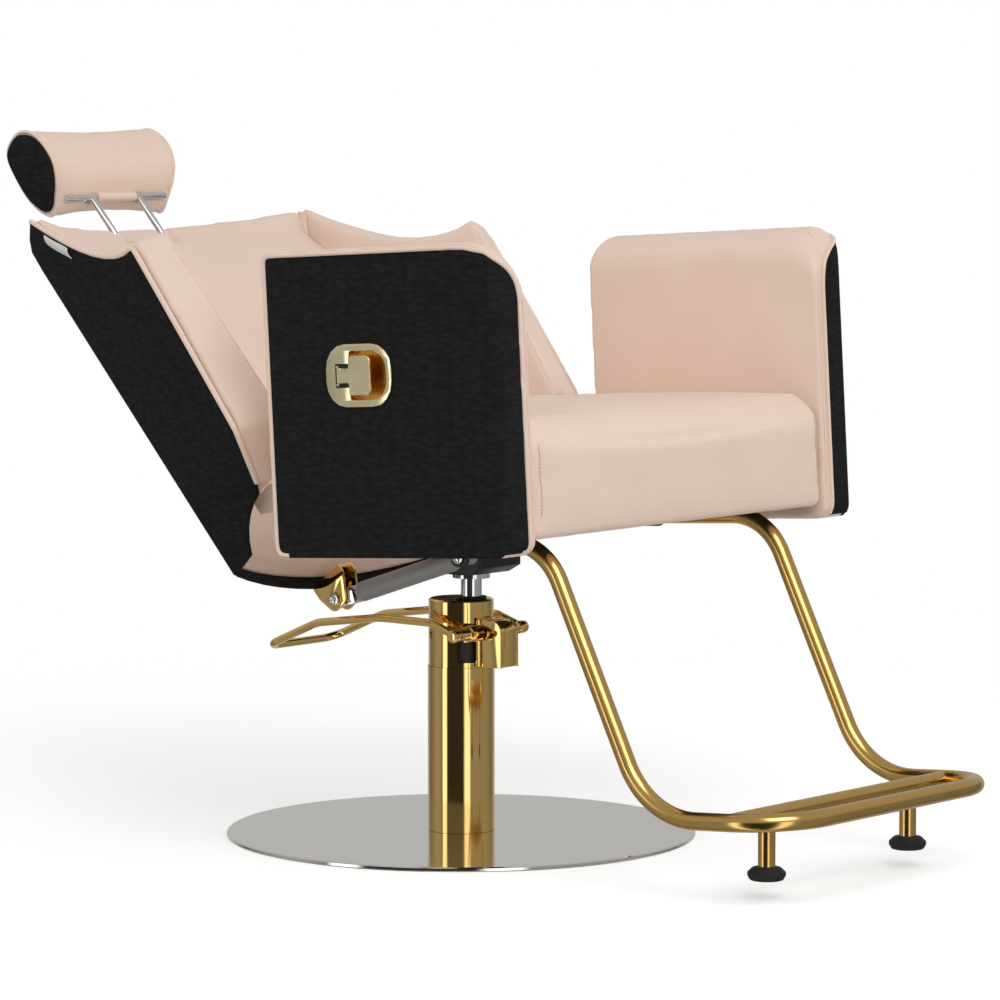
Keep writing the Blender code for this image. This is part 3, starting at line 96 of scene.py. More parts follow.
# Polished stainless steel: a grey mirror, a little warm, with turning rings 1.5 mm apart
stainless, tree, shader, place = plated("polished stainless steel", "EFEBE2", 0.06, 0.11, 0.060)
rings = put(tree, "ShaderNodeTexWave", {"Vector": place, "Scale": 1 / 0.0015 / 20, "Distortion": 0.6},
            wave_type="RINGS", rings_direction="Z")
turning = put(tree, "ShaderNodeBump", {"Height": rings.outputs["Fac"], "Strength": 0.03, "Distance": 0.0002})
tree.links.new(turning.outputs["Normal"], shader.inputs["Normal"])


def merged(node):
    """A node's mesh as a bmesh with its loose triangles joined."""
    form = bmesh.new()
    form.from_mesh(frame["nodes"][node].data)
    bmesh.ops.remove_doubles(form, verts=form.verts, dist=1e-5)
    return form


def flattened(form):
    """Joins the triangles of each flat face."""
    bmesh.ops.dissolve_limit(form, angle_limit=math.radians(1.0), verts=form.verts, edges=form.edges)


HARD_EDGE = math.radians(50)


def bevelled(form, offset, segments, clamped=True):
    """Rounds a form over along its hard edges."""
    hard = [e for e in form.edges if len(e.link_faces) == 2 and e.calc_face_angle() > HARD_EDGE]
    bmesh.ops.bevel(form, geom=hard, offset=offset, segments=segments, profile=0.5, affect="EDGES",
                    clamp_overlap=clamped, material=-1)


def mesh_of(name, form):
    """Turns a bmesh into a mesh, and frees it."""
    mesh = bpy.data.meshes.new(name)
    form.to_mesh(mesh)
    form.free()
    return mesh


def linked(name, data):
    """A new object in the scene."""
    made = bpy.data.objects.new(name, data)
    bpy.context.scene.collection.objects.link(made)
    return made


def piece(name, form, look, body, sharp=35.0):
    """Turns a bmesh into a smooth-shaded piece that rides on a body."""
    mesh = mesh_of(name, form)
    mesh.materials.clear()
    mesh.materials.append(look)
    mesh.shade_smooth()
    mesh.set_sharp_from_angle(angle=math.radians(sharp))
    made = linked(name, mesh)
    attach(made, body)
    return made


body_of = {node: body for body, nodes in frame["record"]["behaviour"]["bodies"].items() for node in nodes}


def skinned(node, look, round_edge=0.0):
    """A rigid node with its round faces shaded smooth and its hard edges broken by a small bevel."""
    form = merged(node)
    flattened(form)
    if round_edge:
        bevelled(form, round_edge, 2)
    made = piece(node + "_skin", form, look, body_of[node])
    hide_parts(node)
    return made


skinned("base_plate", stainless)


# Column and pump housing: steel tube and castings, plated in polished brass.
# The lower tube meets the head at a fine seam, and the pump block is bolted to the head's front.
# A bent cover closes the block's sides, and a window is cut beside it; behind the window a thin black sleeve
# inside the head's wall is painted shade, so that the window looks dark.
polished_brass, *_ = plated("polished brass plate", "F0CA80", 0.05, 0.09, 0.045)
skinned("column_tube", polished_brass)
skinned("pump_block", polished_brass, 0.0012)
black_coat, tree, shader, place = new_finish("black powder coat", "1B1B1B", 0.45)
peel = put(tree, "ShaderNodeTexNoise", {"Vector": place, "Scale": 1 / 0.0016, "Detail": 2.0})
skin = put(tree, "ShaderNodeBump", {"Height": peel.outputs["Fac"], "Strength": 0.2, "Distance": 0.0003})
tree.links.new(skin.outputs["Normal"], shader.inputs["Normal"])


def resolved(carrier):
    """The mesh that an object ends up with, as a bmesh; the object itself is removed."""
    shape = bpy.data.meshes.new_from_object(carrier.evaluated_get(bpy.context.evaluated_depsgraph_get()))
    bpy.data.objects.remove(carrier)
    made = bmesh.new()
    made.from_mesh(shape)
    bpy.data.meshes.remove(shape)
    return made


def evaluated(name, form, kind, **settings):
    """The mesh that one modifier makes of a form, as a bmesh."""
    carrier = linked(name, mesh_of(name, form))
    tool = carrier.modifiers.new(kind.lower(), kind)
    for key, value in settings.items():
        setattr(tool, key, value)
    return resolved(carrier)


def points_in(geometry):
    """The points among an operator's results."""
    return [part for part in geometry if isinstance(part, bmesh.types.BMVert)]


def oblong(front, rear, low, high):
    """The outline of an upright rectangle, as (y, z) points."""
    return [(front, low), (rear, low), (rear, high), (front, high)]


def slab(outline, low, high):
    """A plate across the chair, from an outline of (y, z) points."""
    form = bmesh.new()
    face = form.faces.new([form.verts.new((low, y, z)) for y, z in outline])
    far = bmesh.ops.extrude_face_region(form, geom=[face])["geom"]
    bmesh.ops.translate(form, verts=points_in(far), vec=(high - low, 0, 0))
    bmesh.ops.recalc_face_normals(form, faces=form.faces)
    return form


def thickened(form, thickness):
    """Turns an open sheet into a thin closed form."""
    bmesh.ops.recalc_face_normals(form, faces=form.faces)
    bmesh.ops.solidify(form, geom=form.faces[:], thickness=thickness)
    bmesh.ops.recalc_face_normals(form, faces=form.faces)


WINDOW_HALF = 0.035
WINDOW_FRONT, WINDOW_REAR = -0.060, -0.010
WINDOW_LOW, WINDOW_HIGH = 0.2250, 0.2515
opening = slab(oblong(WINDOW_FRONT, WINDOW_REAR, WINDOW_LOW, WINDOW_HIGH), -WINDOW_HALF, WINDOW_HALF)
window_tool = linked("window_tool", mesh_of("window_tool", opening))
form = evaluated("column_head_skin", merged("column_head"), "BOOLEAN",
                 object=window_tool, operation="DIFFERENCE", solver="EXACT")
bpy.data.objects.remove(window_tool)
bmesh.ops.remove_doubles(form, verts=form.verts, dist=1e-5)
flattened(form)
head = piece("column_head_skin", form, polished_brass, "base")
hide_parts("column_head")
# A thin black sleeve just inside the head's wall: painted shade that makes the window look dark inside.
SHADE_SLEEVE_RADIUS = 0.0370
SHADE_SLEEVE_LOW = 0.2200
SHADE_SLEEVE_HEIGHT = 0.0340
SHADE_SLEEVE_WALL = 0.0006
form = bmesh.new()
bmesh.ops.create_circle(form, segments=64, radius=SHADE_SLEEVE_RADIUS)
wall = bmesh.ops.extrude_edge_only(form, edges=form.edges[:])["geom"]
bmesh.ops.translate(form, verts=points_in(wall), vec=(0, 0, SHADE_SLEEVE_HEIGHT))
bmesh.ops.translate(form, verts=form.verts, vec=(0, 0, SHADE_SLEEVE_LOW))
thickened(form, SHADE_SLEEVE_WALL)
piece("pump_shade_sleeve", form, black_coat, "base")
SIDES = (("right", -1), ("left", 1))
COVER_INNER = 0.0152
COVER_HALF = 0.0178
FLANGE_HALF = 0.0196
COVER_EDGE = 0.0006
cover_outline = [
    (-0.0795, 0.2205), (-0.0464, 0.2205), (-0.0464, 0.2815), (-0.0640, 0.2815),
    (-0.0705, 0.2797), (-0.0758, 0.2757), (-0.0790, 0.2700), (-0.0795, 0.2650),
]
flange_outline = [
    (-0.0464, 0.2205), (-0.0390, 0.2205), (-0.0390, 0.2740),
    (-0.0405, 0.2790), (-0.0440, 0.2815), (-0.0464, 0.2815),
]
covers = (("cover", cover_outline, COVER_HALF), ("flange", flange_outline, FLANGE_HALF))
for side, sign in SIDES:
    for name, outline, reach in covers:
        form = slab(outline, *sorted((sign * COVER_INNER, sign * reach)))
        bevelled(form, COVER_EDGE, 2, clamped=False)
        piece("pump_%s_%s" % (name, side), form, polished_brass, "base")


# Ram: a ground and chromed rod in its cylinder, with a rubber gland where it leaves the column.
# Its collar and spigot carry the seat.
chrome, *_ = plated("chrome plate", "E6E6E4", 0.05, 0.10, 0.030)
rubber, tree, shader, place = new_finish("moulded black rubber", "191919", 0.62)
grit = put(tree, "ShaderNodeTexNoise", {"Vector": place, "Scale": 1 / 0.0012, "Detail": 3.0})
pores = put(tree, "ShaderNodeBump", {"Height": grit.outputs["Fac"], "Strength": 0.25, "Distance": 0.0004})
tree.links.new(pores.outputs["Normal"], shader.inputs["Normal"])
for node in ("pump_cylinder", "piston_rod"):
    skinned(node, chrome)
skinned("ram_gland", rubber, 0.0008)


# Pump pedal: a brass-plated steel rod bent into a loop round the column, with a boss at each end.
# The bosses are fixed on the shaft, which turns in two bushes and works the pump inside the block.
def fillet(before, corner, after, radius, steps):
    """Points of the arc that rounds one corner of a route."""
    first = (before - corner).normalized()
    second = (after - corner).normalized()
    half = first.angle(second) / 2
    reach = radius / math.tan(half)
    centre = corner + (first + second).normalized() * radius / math.sin(half)
    start = (corner + first * reach - centre).normalized()
    end = (corner + second * reach - centre).normalized()
    return [centre + start.slerp(end, i / steps) * radius for i in range(steps + 1)]


def bent_route(corners, steps=14):
    """A route whose inner corners, given as (point, radius), are rounded."""
    points = [Vector(corners[0][0])]
    for before, (corner, radius), after in zip(corners, corners[1:], corners[2:]):
        points += fillet(Vector(before[0]), Vector(corner), Vector(after[0]), radius, steps)
    return points + [Vector(corners[-1][0])]


def tube(name, route, radius, look, body, closed=False, sides=6):
    """A round bar or cord along a route, made a mesh."""
    path = bpy.data.curves.new(name, "CURVE")
    path.dimensions = "3D"
    path.bevel_depth = radius
    path.bevel_resolution = sides
    path.use_fill_caps = True
    line = path.splines.new("POLY")
    line.points.add(len(route) - 1)
    line.use_cyclic_u = closed
    for point, where in zip(line.points, route):
        point.co = (*where, 1.0)
    form = resolved(linked(name + "_route", path))
    bmesh.ops.remove_doubles(form, verts=form.verts, dist=1e-6)
    bmesh.ops.recalc_face_normals(form, faces=form.faces)
    return piece(name, form, look, body, 50.0)


shaft_low, shaft_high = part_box("pedal_shaft")
shaft = (shaft_low + shaft_high) / 2
PEDAL_HALF_WIDTH = 0.066
PEDAL_BAR = 0.0053
hoop_side = [
    (Vector((-PEDAL_HALF_WIDTH, 0.004, 0.002)), 0.0),
    (Vector((-PEDAL_HALF_WIDTH, 0.040, 0.0140)), 0.030),
    (Vector((-PEDAL_HALF_WIDTH, 0.125, 0.0145)), 0.150),
    (Vector((-PEDAL_HALF_WIDTH, 0.231, 0.0005)), 0.080),
    (Vector((-PEDAL_HALF_WIDTH, 0.318, -0.0365)), 0.022),
]
hoop_corners = [(shaft + place, radius) for place, radius in hoop_side]
hoop_corners += [(Vector((-place.x, place.y, place.z)), radius) for place, radius in reversed(hoop_corners)]
hoop = tube("pedal_loop", bent_route(hoop_corners), PEDAL_BAR, polished_brass, "pedal")
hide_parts("pedal_hoop")
BOSS_RADIUS, BOSS_LENGTH = 0.0082, 0.013
BUSH_RADIUS, BUSH_LENGTH, BUSH_PLACE = 0.0105, 0.021, 0.0302
BOSS_EDGE = 0.0012
bosses = (
    ("pedal_boss", BOSS_RADIUS, BOSS_LENGTH, PEDAL_HALF_WIDTH, "pedal"),
    ("shaft_bush", BUSH_RADIUS, BUSH_LENGTH, BUSH_PLACE, "base"),
)
for side, sign in SIDES:
    for name, radius, length, reach, body in bosses:
        form = bmesh.new()
        bmesh.ops.create_cone(form, cap_ends=True, segments=48, radius1=radius, radius2=radius, depth=length)
        bevelled(form, BOSS_EDGE, 3, clamped=False)
        bmesh.ops.rotate(form, verts=form.verts, matrix=Matrix.Rotation(math.pi / 2, 3, "Y"))
        bmesh.ops.translate(form, verts=form.verts, vec=shaft + Vector((sign * reach, 0, 0)))
        piece("%s_%s" % (name, side), form, polished_brass, body)
skinned("pedal_shaft", polished_brass, 0.001)


# Mount and seat plate: a casting on the ram's collar and a pressed steel plate, both powder-coated black.
# The coat is satin with a fine orange-peel; bright screws hold the casting.
for node in ("mount_block", "seat_frame", "spring_mount"):
    skinned(node, black_coat, 0.0012)
for side in ("right", "left"):
    skinned("tube_clamp_" + side, black_coat, 0.0008)
    skinned("hinge_pin_" + side, chrome, 0.0008)


# A screw head's height and its slot's half width, reach and depth, as shares of the head's radius
SCREW_RISE, SLOT_HALF, SLOT_REACH, SLOT_DEPTH = 0.45, 0.16, 0.62, 0.24


def screw(name, place, axis, radius, body):
    """A round-headed screw with a cross slot, its head standing out along an axis."""
    form = bmesh.new()
    bmesh.ops.create_uvsphere(form, u_segments=32, v_segments=16, radius=radius)
    bmesh.ops.bisect_plane(form, geom=form.verts[:] + form.edges[:] + form.faces[:], plane_co=(0, 0, 0),
                           plane_no=(0, 0, -1), clear_outer=True)
    rim = [e for e in form.edges if e.is_boundary]
    bmesh.ops.contextual_create(form, geom=rim)
    for vert in form.verts:
        vert.co.z *= SCREW_RISE
        in_cross = min(abs(vert.co.x), abs(vert.co.y)) < SLOT_HALF * radius
        if in_cross and vert.co.to_2d().length < SLOT_REACH * radius:
            vert.co.z -= SLOT_DEPTH * radius
    bmesh.ops.recalc_face_normals(form, faces=form.faces)
    turn = Vector((0, 0, 1)).rotation_difference(Vector(axis)).to_matrix()
    bmesh.ops.rotate(form, verts=form.verts, matrix=turn)
    bmesh.ops.translate(form, verts=form.verts, vec=place)
    return piece(name, form, chrome, body, 60.0)


MOUNT_SCREW_SHARES = (0.16, 0.36, 0.80)
MOUNT_SCREW_DROP = 0.028
MOUNT_SCREW_RADIUS = 0.0055
mount_low, mount_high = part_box("mount_block")
for index, share in enumerate(MOUNT_SCREW_SHARES):
    along = mount_low.y + share * (mount_high.y - mount_low.y)
    for side, x, way in (("right", mount_low.x, -1), ("left", mount_high.x, 1)):
        place = Vector((x, along, mount_high.z - MOUNT_SCREW_DROP))
        screw("mount_screw_%s_%d" % (side, index + 1), place, (way, 0, 0), MOUNT_SCREW_RADIUS, "seat")


# Footrest: steel tube bent into one hoop, with a cross bar, plated in satin brass.
# Clamps hold the hoop under the seat plate; posts with rubber feet stop it from bending to the floor.
RAKE = math.radians(3.5)
RAKE_POINT = Vector((0.0, -0.017, 0.360))
seat_turn = Matrix.Rotation(-RAKE, 3, "X")


def in_seat(x, y, z):
    """A point of the seat's raked frame, in the chair's frame."""
    return RAKE_POINT + seat_turn @ Vector((x, y, z))


satin_brass, *_ = plated("satin brass plate", "D8B068", 0.17, 0.24, 0.050)
TUBE_RADIUS = 0.011
TUBE_HALF_WIDTH = 0.226
tube_side = [
    ((-TUBE_HALF_WIDTH, -0.090, 0.0345), 0.0),
    ((-TUBE_HALF_WIDTH, -0.3026, 0.0345), 0.080),
    ((-TUBE_HALF_WIDTH, -0.4394, -0.294), 0.105),
    ((-TUBE_HALF_WIDTH, -0.640, -0.294), 0.080),
]
tube_corners = [(in_seat(*place), radius) for place, radius in tube_side]
tube_corners += [(in_seat(-place[0], place[1], place[2]), radius) for place, radius in reversed(tube_side)]
hoop = tube("footrest_hoop", bent_route(tube_corners, 20), TUBE_RADIUS, satin_brass, "seat",
            sides=10)
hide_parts("footrest_tube")
bar_low, bar_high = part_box("footrest_bar")
bar_middle = (bar_low + bar_high) / 2
bar_width = bar_high.x - bar_low.x
bar_route = [Vector((bar_low.x + bar_width * i / 12, bar_middle.y, bar_middle.z)) for i in range(13)]
bar = tube("footrest_cross_bar", bar_route, (bar_high.z - bar_low.z) / 2, satin_brass, "seat",
           sides=10)
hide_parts("footrest_bar")
for side in ("right", "left"):
    skinned("foot_post_" + side, satin_brass)
    skinned("foot_pad_" + side, rubber, 0.0015)


# Seat cushion: moulded foam on a board, under a tight leatherette cover with a crowned top.
# The cover is cut full between the arms and narrows to a tongue under the backrest.

# Leatherette: a vinyl coat on knitted cloth, embossed with a pebble grain; it gives a soft, even sheen.
# The grain is drawn 2.4 mm across, about twice the real one, so that it shows.
blush, tree, shader, place = new_finish("blush leatherette", "E9CFBE", 0.48)
mottle = put(tree, "ShaderNodeTexNoise", {"Vector": place, "Scale": 1 / 0.090, "Detail": 3.0})
tones = put(tree, "ShaderNodeValToRGB", {"Fac": mottle.outputs["Fac"]})
tones.color_ramp.elements[0].position = 0.3
tones.color_ramp.elements[0].color = linear("E9D0BF")
tones.color_ramp.elements[1].position = 0.7
tones.color_ramp.elements[1].color = linear("ECD4C4")
tree.links.new(tones.outputs["Color"], shader.inputs["Base Color"])
pebbles = put(tree, "ShaderNodeTexVoronoi", {"Vector": place, "Scale": 1 / 0.0024}, feature="SMOOTH_F1")
hide = put(tree, "ShaderNodeBump", {
    "Height": pebbles.outputs["Distance"], "Strength": 0.10, "Distance": 0.0005,
})
tree.links.new(hide.outputs["Normal"], shader.inputs["Normal"])
shine = put(tree, "ShaderNodeMapRange", {
    "Value": pebbles.outputs["Distance"], "To Min": 0.42, "To Max": 0.54,
})
tree.links.new(shine.outputs["Result"], shader.inputs["Roughness"])


def smoothed(form, factor):
    """Moves each point of a net a share of the way to the middle of its neighbours."""
    bmesh.ops.smooth_vert(form, verts=form.verts, factor=factor, use_axis_x=True, use_axis_y=True,
                          use_axis_z=True)


def relaxed(form, passes):
    """Eases the steps out of a net; each second move is outwards, so that the form keeps its size."""
    for factor in (0.5, -0.52) * passes:
        smoothed(form, factor)


CLOTH_STEPS = 16


def swollen(name, form, pressure, reach):
    """Blows a closed form up as a cover is by its foam, no point further than reach."""
    carrier = linked(name, mesh_of(name, form.copy()))
    scene = bpy.context.scene
    cloth = carrier.modifiers.new("cover", "CLOTH")
    cloth.settings.use_pressure = True
    cloth.settings.uniform_pressure_force = pressure
    cloth.settings.effector_weights.gravity = 0.0
    cloth.settings.quality = 4
    cloth.point_cache.frame_start = 1
    cloth.point_cache.frame_end = CLOTH_STEPS
    for step in range(1, CLOTH_STEPS + 1):
        scene.frame_set(step)
    shape = resolved(carrier)
    for vert, blown in zip(form.verts, shape.verts):
        move = blown.co - vert.co
        vert.co += move * min(1.0, reach / max(move.length, 1e-9))
    shape.free()
    scene.frame_set(1)


def upholstered(name, node, look, cell, passes, pressure=0.0, reach=0.0, fit=None, bend=None):
    """A cover over a pad's solid: an even net, eased, then blown up by the foam inside.

    A bend is undone while the net is made, so that the net lies along the pad's edges.
    """
    flat = merged(node)
    if bend:
        bend(flat, False)
    form = evaluated(name, flat, "REMESH", mode="VOXEL", voxel_size=cell)
    relaxed(form, passes)
    if bend:
        bend(form, True)
    if pressure:
        swollen(name, form, pressure, reach)
        relaxed(form, 4)
    if fit:
        fit(form)
    made = piece(name, form, look, body_of[node], 180.0)
    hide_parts(node)
    return made


seat_cover = upholstered("seat_cover", "seat_cushion", blush, cell=0.0045, passes=20, pressure=4.0,
                         reach=0.0022)


# Arms: boards wrapped in thin foam and blush leatherette, with a rolled top.
# A black cloth cover is sewn over the outside and front, with a blush welt along its edge.

# Black cloth: polyester woven on a jacquard loom, with low raised scales about 18 mm long and 6 mm high.
black_cloth, tree, shader, place = new_finish("black jacquard cloth", "171717", 0.80)
drawn = put(tree, "ShaderNodeMapping", {"Vector": place, "Scale": (1 / 0.018, 1 / 0.018, 1 / 0.0065)})
scales = put(tree, "ShaderNodeTexVoronoi", {
    "Vector": drawn.outputs["Vector"], "Scale": 1.0, "Randomness": 0.7,
})
threads = put(tree, "ShaderNodeTexNoise", {"Vector": place, "Scale": 1 / 0.0011, "Detail": 2.0})
raised = put(tree, "ShaderNodeBump", {
    "Height": scales.outputs["Distance"], "Strength": 0.40, "Distance": 0.0018,
})
yarns = put(tree, "ShaderNodeValToRGB", {"Fac": scales.outputs["Distance"]})
yarns.color_ramp.elements[0].position = 0.25
yarns.color_ramp.elements[0].color = linear("191919")
yarns.color_ramp.elements[1].position = 0.60
yarns.color_ramp.elements[1].color = linear("121212")
tree.links.new(yarns.outputs["Color"], shader.inputs["Base Color"])
weave = put(tree, "ShaderNodeBump", {
    "Height": threads.outputs["Fac"], "Strength": 0.35, "Distance": 0.0004,
    "Normal": raised.outputs["Normal"],
})
tree.links.new(weave.outputs["Normal"], shader.inputs["Normal"])
lustre = put(tree, "ShaderNodeMapRange", {
    "Value": scales.outputs["Distance"], "To Min": 0.74, "To Max": 0.92,
})
tree.links.new(lustre.outputs["Result"], shader.inputs["Roughness"])
shader.inputs["Specular IOR Level"].default_value = 0.25


def surface_of(*pieces):
    """One search tree over the faces of some pieces."""
    verts, faces = [], []
    for part in pieces:
        start = len(verts)
        verts += [v.co.copy() for v in part.data.vertices]
        faces += [[start + i for i in f.vertices] for f in part.data.polygons]
    return BVHTree.FromPolygons(verts, faces)


def even(route, step):
    """The same route with its points a steady step apart."""
    points = [route[0]]
    spare = step
    for start, end in zip(route, route[1:]):
        length = (end - start).length
        at = spare
        while at < length:
            points.append(start.lerp(end, at / length))
            at += step
        spare = at - length
    return points + [route[-1]]


def eased(points, passes):
    """A route with its sharp turns rounded off."""
    for _ in range(passes):
        middle = [(a + 2 * b + c) / 4 for a, b, c in zip(points, points[1:], points[2:])]
        points = [points[0]] + middle + [points[-1]]
    return points


def laid(route, surface, lift, passes):
    """A route brought down onto a surface, lifted a little and eased."""
    points = []
    for where in route:
        spot, normal, _, _ = surface.find_nearest(where)
        points.append(spot + normal * lift)
    return eased(points, passes)


WELT_STEP = 0.004
WELT_LIFT = 0.35


def welt(name, route, surface, radius, body, passes=8):
    """A covered cord sewn along an edge, lifted off it by a share of its radius."""
    route = laid(even(route, WELT_STEP), surface, WELT_LIFT * radius, passes)
    return tube(name, route, radius, blush, body, sides=4)


def covered(name, node, look, hem, fit=None):
    """Cloth pulled tight over a board: the board's form with its edges turned round."""
    form = merged(node)
    flattened(form)
    bevelled(form, hem, 3)
    if fit:
        fit(form)
    made = piece(name, form, look, body_of[node], 40.0)
    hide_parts(node)
    return made


# Sewing thread: bonded polyester, coloured darker than the leatherette it closes; this darker colour is
# painted shade that draws the sunken lines of the seams.
thread, tree, shader, place = new_finish("bonded polyester thread", "C9A48E", 0.55)
twist = put(tree, "ShaderNodeTexWave", {"Vector": place, "Scale": 1 / 0.0008 / 20, "Distortion": 1.0})
lay = put(tree, "ShaderNodeBump", {"Height": twist.outputs["Fac"], "Strength": 0.3, "Distance": 0.0002})
tree.links.new(lay.outputs["Normal"], shader.inputs["Normal"])


THREAD_LIFT, THREAD_OVERLAP = 0.4, 1.25


def stitched(name, route, surface, body, pitch=0.0045, width=0.0007):
    """A row of stitches along a route on a surface."""
    route = laid(even(route, pitch / 2), surface, width * THREAD_LIFT, 8)
    form = bmesh.new()
    for start, end in zip(route[::2], route[1::2]):
        run = end - start
        stitch = bmesh.ops.create_cone(form, cap_ends=True, segments=6, radius1=width, radius2=width,
                                       depth=run.length * THREAD_OVERLAP)
        turn = Vector((0, 0, 1)).rotation_difference(run).to_matrix()
        bmesh.ops.rotate(form, verts=stitch["verts"], matrix=turn)
        bmesh.ops.translate(form, verts=stitch["verts"], vec=(start + end) / 2)
    return piece(name, form, thread, body, 40.0)


ARM_OUTER = 0.350
ARM_FRONT = -0.346
ARM_REAR = 0.021
ARM_BOTTOM = 0.024
ARM_TOP = 0.397
COVER_MARGIN, COVER_FOOT = 0.006, 0.003
COVER_REAR = ARM_REAR - COVER_MARGIN - ARM_FRONT
COVER_TOP = ARM_TOP - COVER_MARGIN
COVER_LOW = ARM_BOTTOM + COVER_FOOT
FACING_RUN, FACING_RETURN, FACING_FALL = 0.075, 0.042, 0.072
FACING_POWER = 2.4
FACING_LIFT, FACING_THICKNESS = 0.0009, 0.0007
NOSE_ROUND, NOSE_ROWS = 0.010, 6
FOOT_ROUND, FOOT_ROWS = 0.018, 5
NET_FACES = 5000
WELT_RADIUS = 0.0026
WELT_START = 0.018
ARM_SEAM_RADIUS = 0.0011
ARM_SEAM_INSET = 0.009
ARM_SEAM_LEAN, ARM_SEAM_DEPTH, ARM_SEAM_RISE = 0.026, 0.03, 0.070


def turned_in(a, b):
    """Draws the corner of a unit square in to a quarter circle."""
    if a <= 0 or b <= 0:
        return a, b
    a, b = min(a, 1.0), min(b, 1.0)
    return a * math.sqrt(1 - b * b / 2), b * math.sqrt(1 - a * a / 2)


def eased_arm(x, y, z):
    """A point of an arm once its cover has rounded the upright front edge and the lower corners."""
    out, fore = turned_in((abs(x) - ARM_OUTER) / NOSE_ROUND + 1, (ARM_FRONT - y) / NOSE_ROUND + 1)
    x = math.copysign(ARM_OUTER + (out - 1) * NOSE_ROUND, x)
    y = ARM_FRONT - (fore - 1) * NOSE_ROUND
    for edge, way in ((ARM_FRONT, -1), (ARM_REAR, 1)):
        along, down = turned_in(way * (y - edge) / FOOT_ROUND + 1, (ARM_BOTTOM - z) / FOOT_ROUND + 1)
        y = edge + way * (along - 1) * FOOT_ROUND
        z = ARM_BOTTOM - (down - 1) * FOOT_ROUND
    return in_seat(x, y, z)


def eased_form(form):
    """Rounds an arm's form; one that isn't a fine net first gets the rows of points that this needs."""
    if len(form.faces) < NET_FACES:
        nose = [NOSE_ROUND * i / NOSE_ROWS for i in range(1, NOSE_ROWS + 1)]
        foot = [FOOT_ROUND * i / FOOT_ROWS for i in range(1, FOOT_ROWS + 1)]
        rows = [((0, 1, 0), (0, ARM_FRONT + step, 0)) for step in nose]
        rows += [((0, 1, 0), (0, ARM_REAR - step, 0)) for step in foot]
        rows += [((0, 0, 1), (0, 0, ARM_BOTTOM + step)) for step in foot]
        rows += [((1, 0, 0), (sign * (ARM_OUTER - step), 0, 0)) for step in nose for sign in (-1, 1)]
        for normal, spot in rows:
            whole = form.verts[:] + form.edges[:] + form.faces[:]
            bmesh.ops.bisect_plane(form, geom=whole, plane_co=in_seat(*spot),
                                   plane_no=seat_turn @ Vector(normal))
    for vert in form.verts:
        vert.co = eased_arm(*(seat_turn.transposed() @ (vert.co - RAKE_POINT)))


def facing_edge(angle):
    """The facing's curved upper edge: how far it lies behind the arm's upright front edge, and its height."""
    along, up = math.sin(angle) ** (2 / FACING_POWER), math.cos(angle) ** (2 / FACING_POWER)
    return FACING_RUN - (FACING_RUN + FACING_RETURN) * along, COVER_TOP - FACING_FALL * (1 - up)


def wrapped(sign, behind, z):
    """A point on an arm's outside, or on its front where behind is negative."""
    return eased_arm(sign * (ARM_OUTER + min(behind, 0.0)), ARM_FRONT + max(behind, 0.0), z)


for side, sign in SIDES:
    pad = upholstered("arm_cover_" + side, "arm_pad_" + side, blush, cell=0.0032, passes=14, fit=eased_form)
    outside = covered("arm_outside_" + side, "arm_panel_" + side, black_cloth, hem=0.0010, fit=eased_form)
    arm = surface_of(pad, outside)
    form = bmesh.new()
    bmesh.ops.create_grid(form, x_segments=40, y_segments=60, size=1.0)
    for vert in form.verts:
        behind, crest = facing_edge(math.pi / 4 * (vert.co.x + 1))
        where = wrapped(sign, behind, COVER_LOW + (crest - COVER_LOW) * (vert.co.y + 1) / 2)
        spot, normal, _, _ = arm.find_nearest(where)
        vert.co = spot + normal * FACING_LIFT
    thickened(form, FACING_THICKNESS)
    facing = piece("arm_facing_" + side, form, black_cloth, "seat", 60.0)
    edge = [Vector((COVER_REAR - WELT_START, COVER_LOW, 0)), Vector((COVER_REAR, COVER_LOW, 0))]
    edge.append(Vector((COVER_REAR, COVER_TOP, 0)))
    edge += [Vector((*facing_edge(math.radians(3 * i)), 0)) for i in range(31)]
    edge.append(Vector((-FACING_RETURN, COVER_LOW, 0)))
    edge = [wrapped(sign, p.x, p.y) for p in even(edge, WELT_STEP)]
    welt("arm_welt_" + side, edge, surface_of(pad, outside, facing), WELT_RADIUS, "seat", 3)
    inner = ARM_OUTER - FACING_RETURN - ARM_SEAM_INSET
    bend = COVER_TOP - FACING_FALL
    seam = [(inner, ARM_FRONT, COVER_LOW + (bend - COVER_LOW) * i / 30) for i in range(31)]
    for i in range(1, 13):
        deep = ARM_SEAM_DEPTH * (i / 12) ** 2
        seam.append((inner + ARM_SEAM_LEAN * i / 12, ARM_FRONT + deep, bend + ARM_SEAM_RISE * i / 12))
    seam = [in_seat(sign * x, y, z) for x, y, z in seam]
    welt("arm_seam_" + side, seam, arm, ARM_SEAM_RADIUS, "seat")
CREASE_SIDE, CREASE_FRONT = 0.2835, -0.365
CREASE_TOP, CREASE_FALL = 0.540, 0.090
heights = [CREASE_TOP - CREASE_FALL * i / 12 for i in range(13)]
for side, sign in SIDES:
    crease = [Vector((sign * CREASE_SIDE, CREASE_FRONT, z)) for z in heights]
    stitched("seat_stitch_" + side, crease, surface_of(seat_cover), "seat")
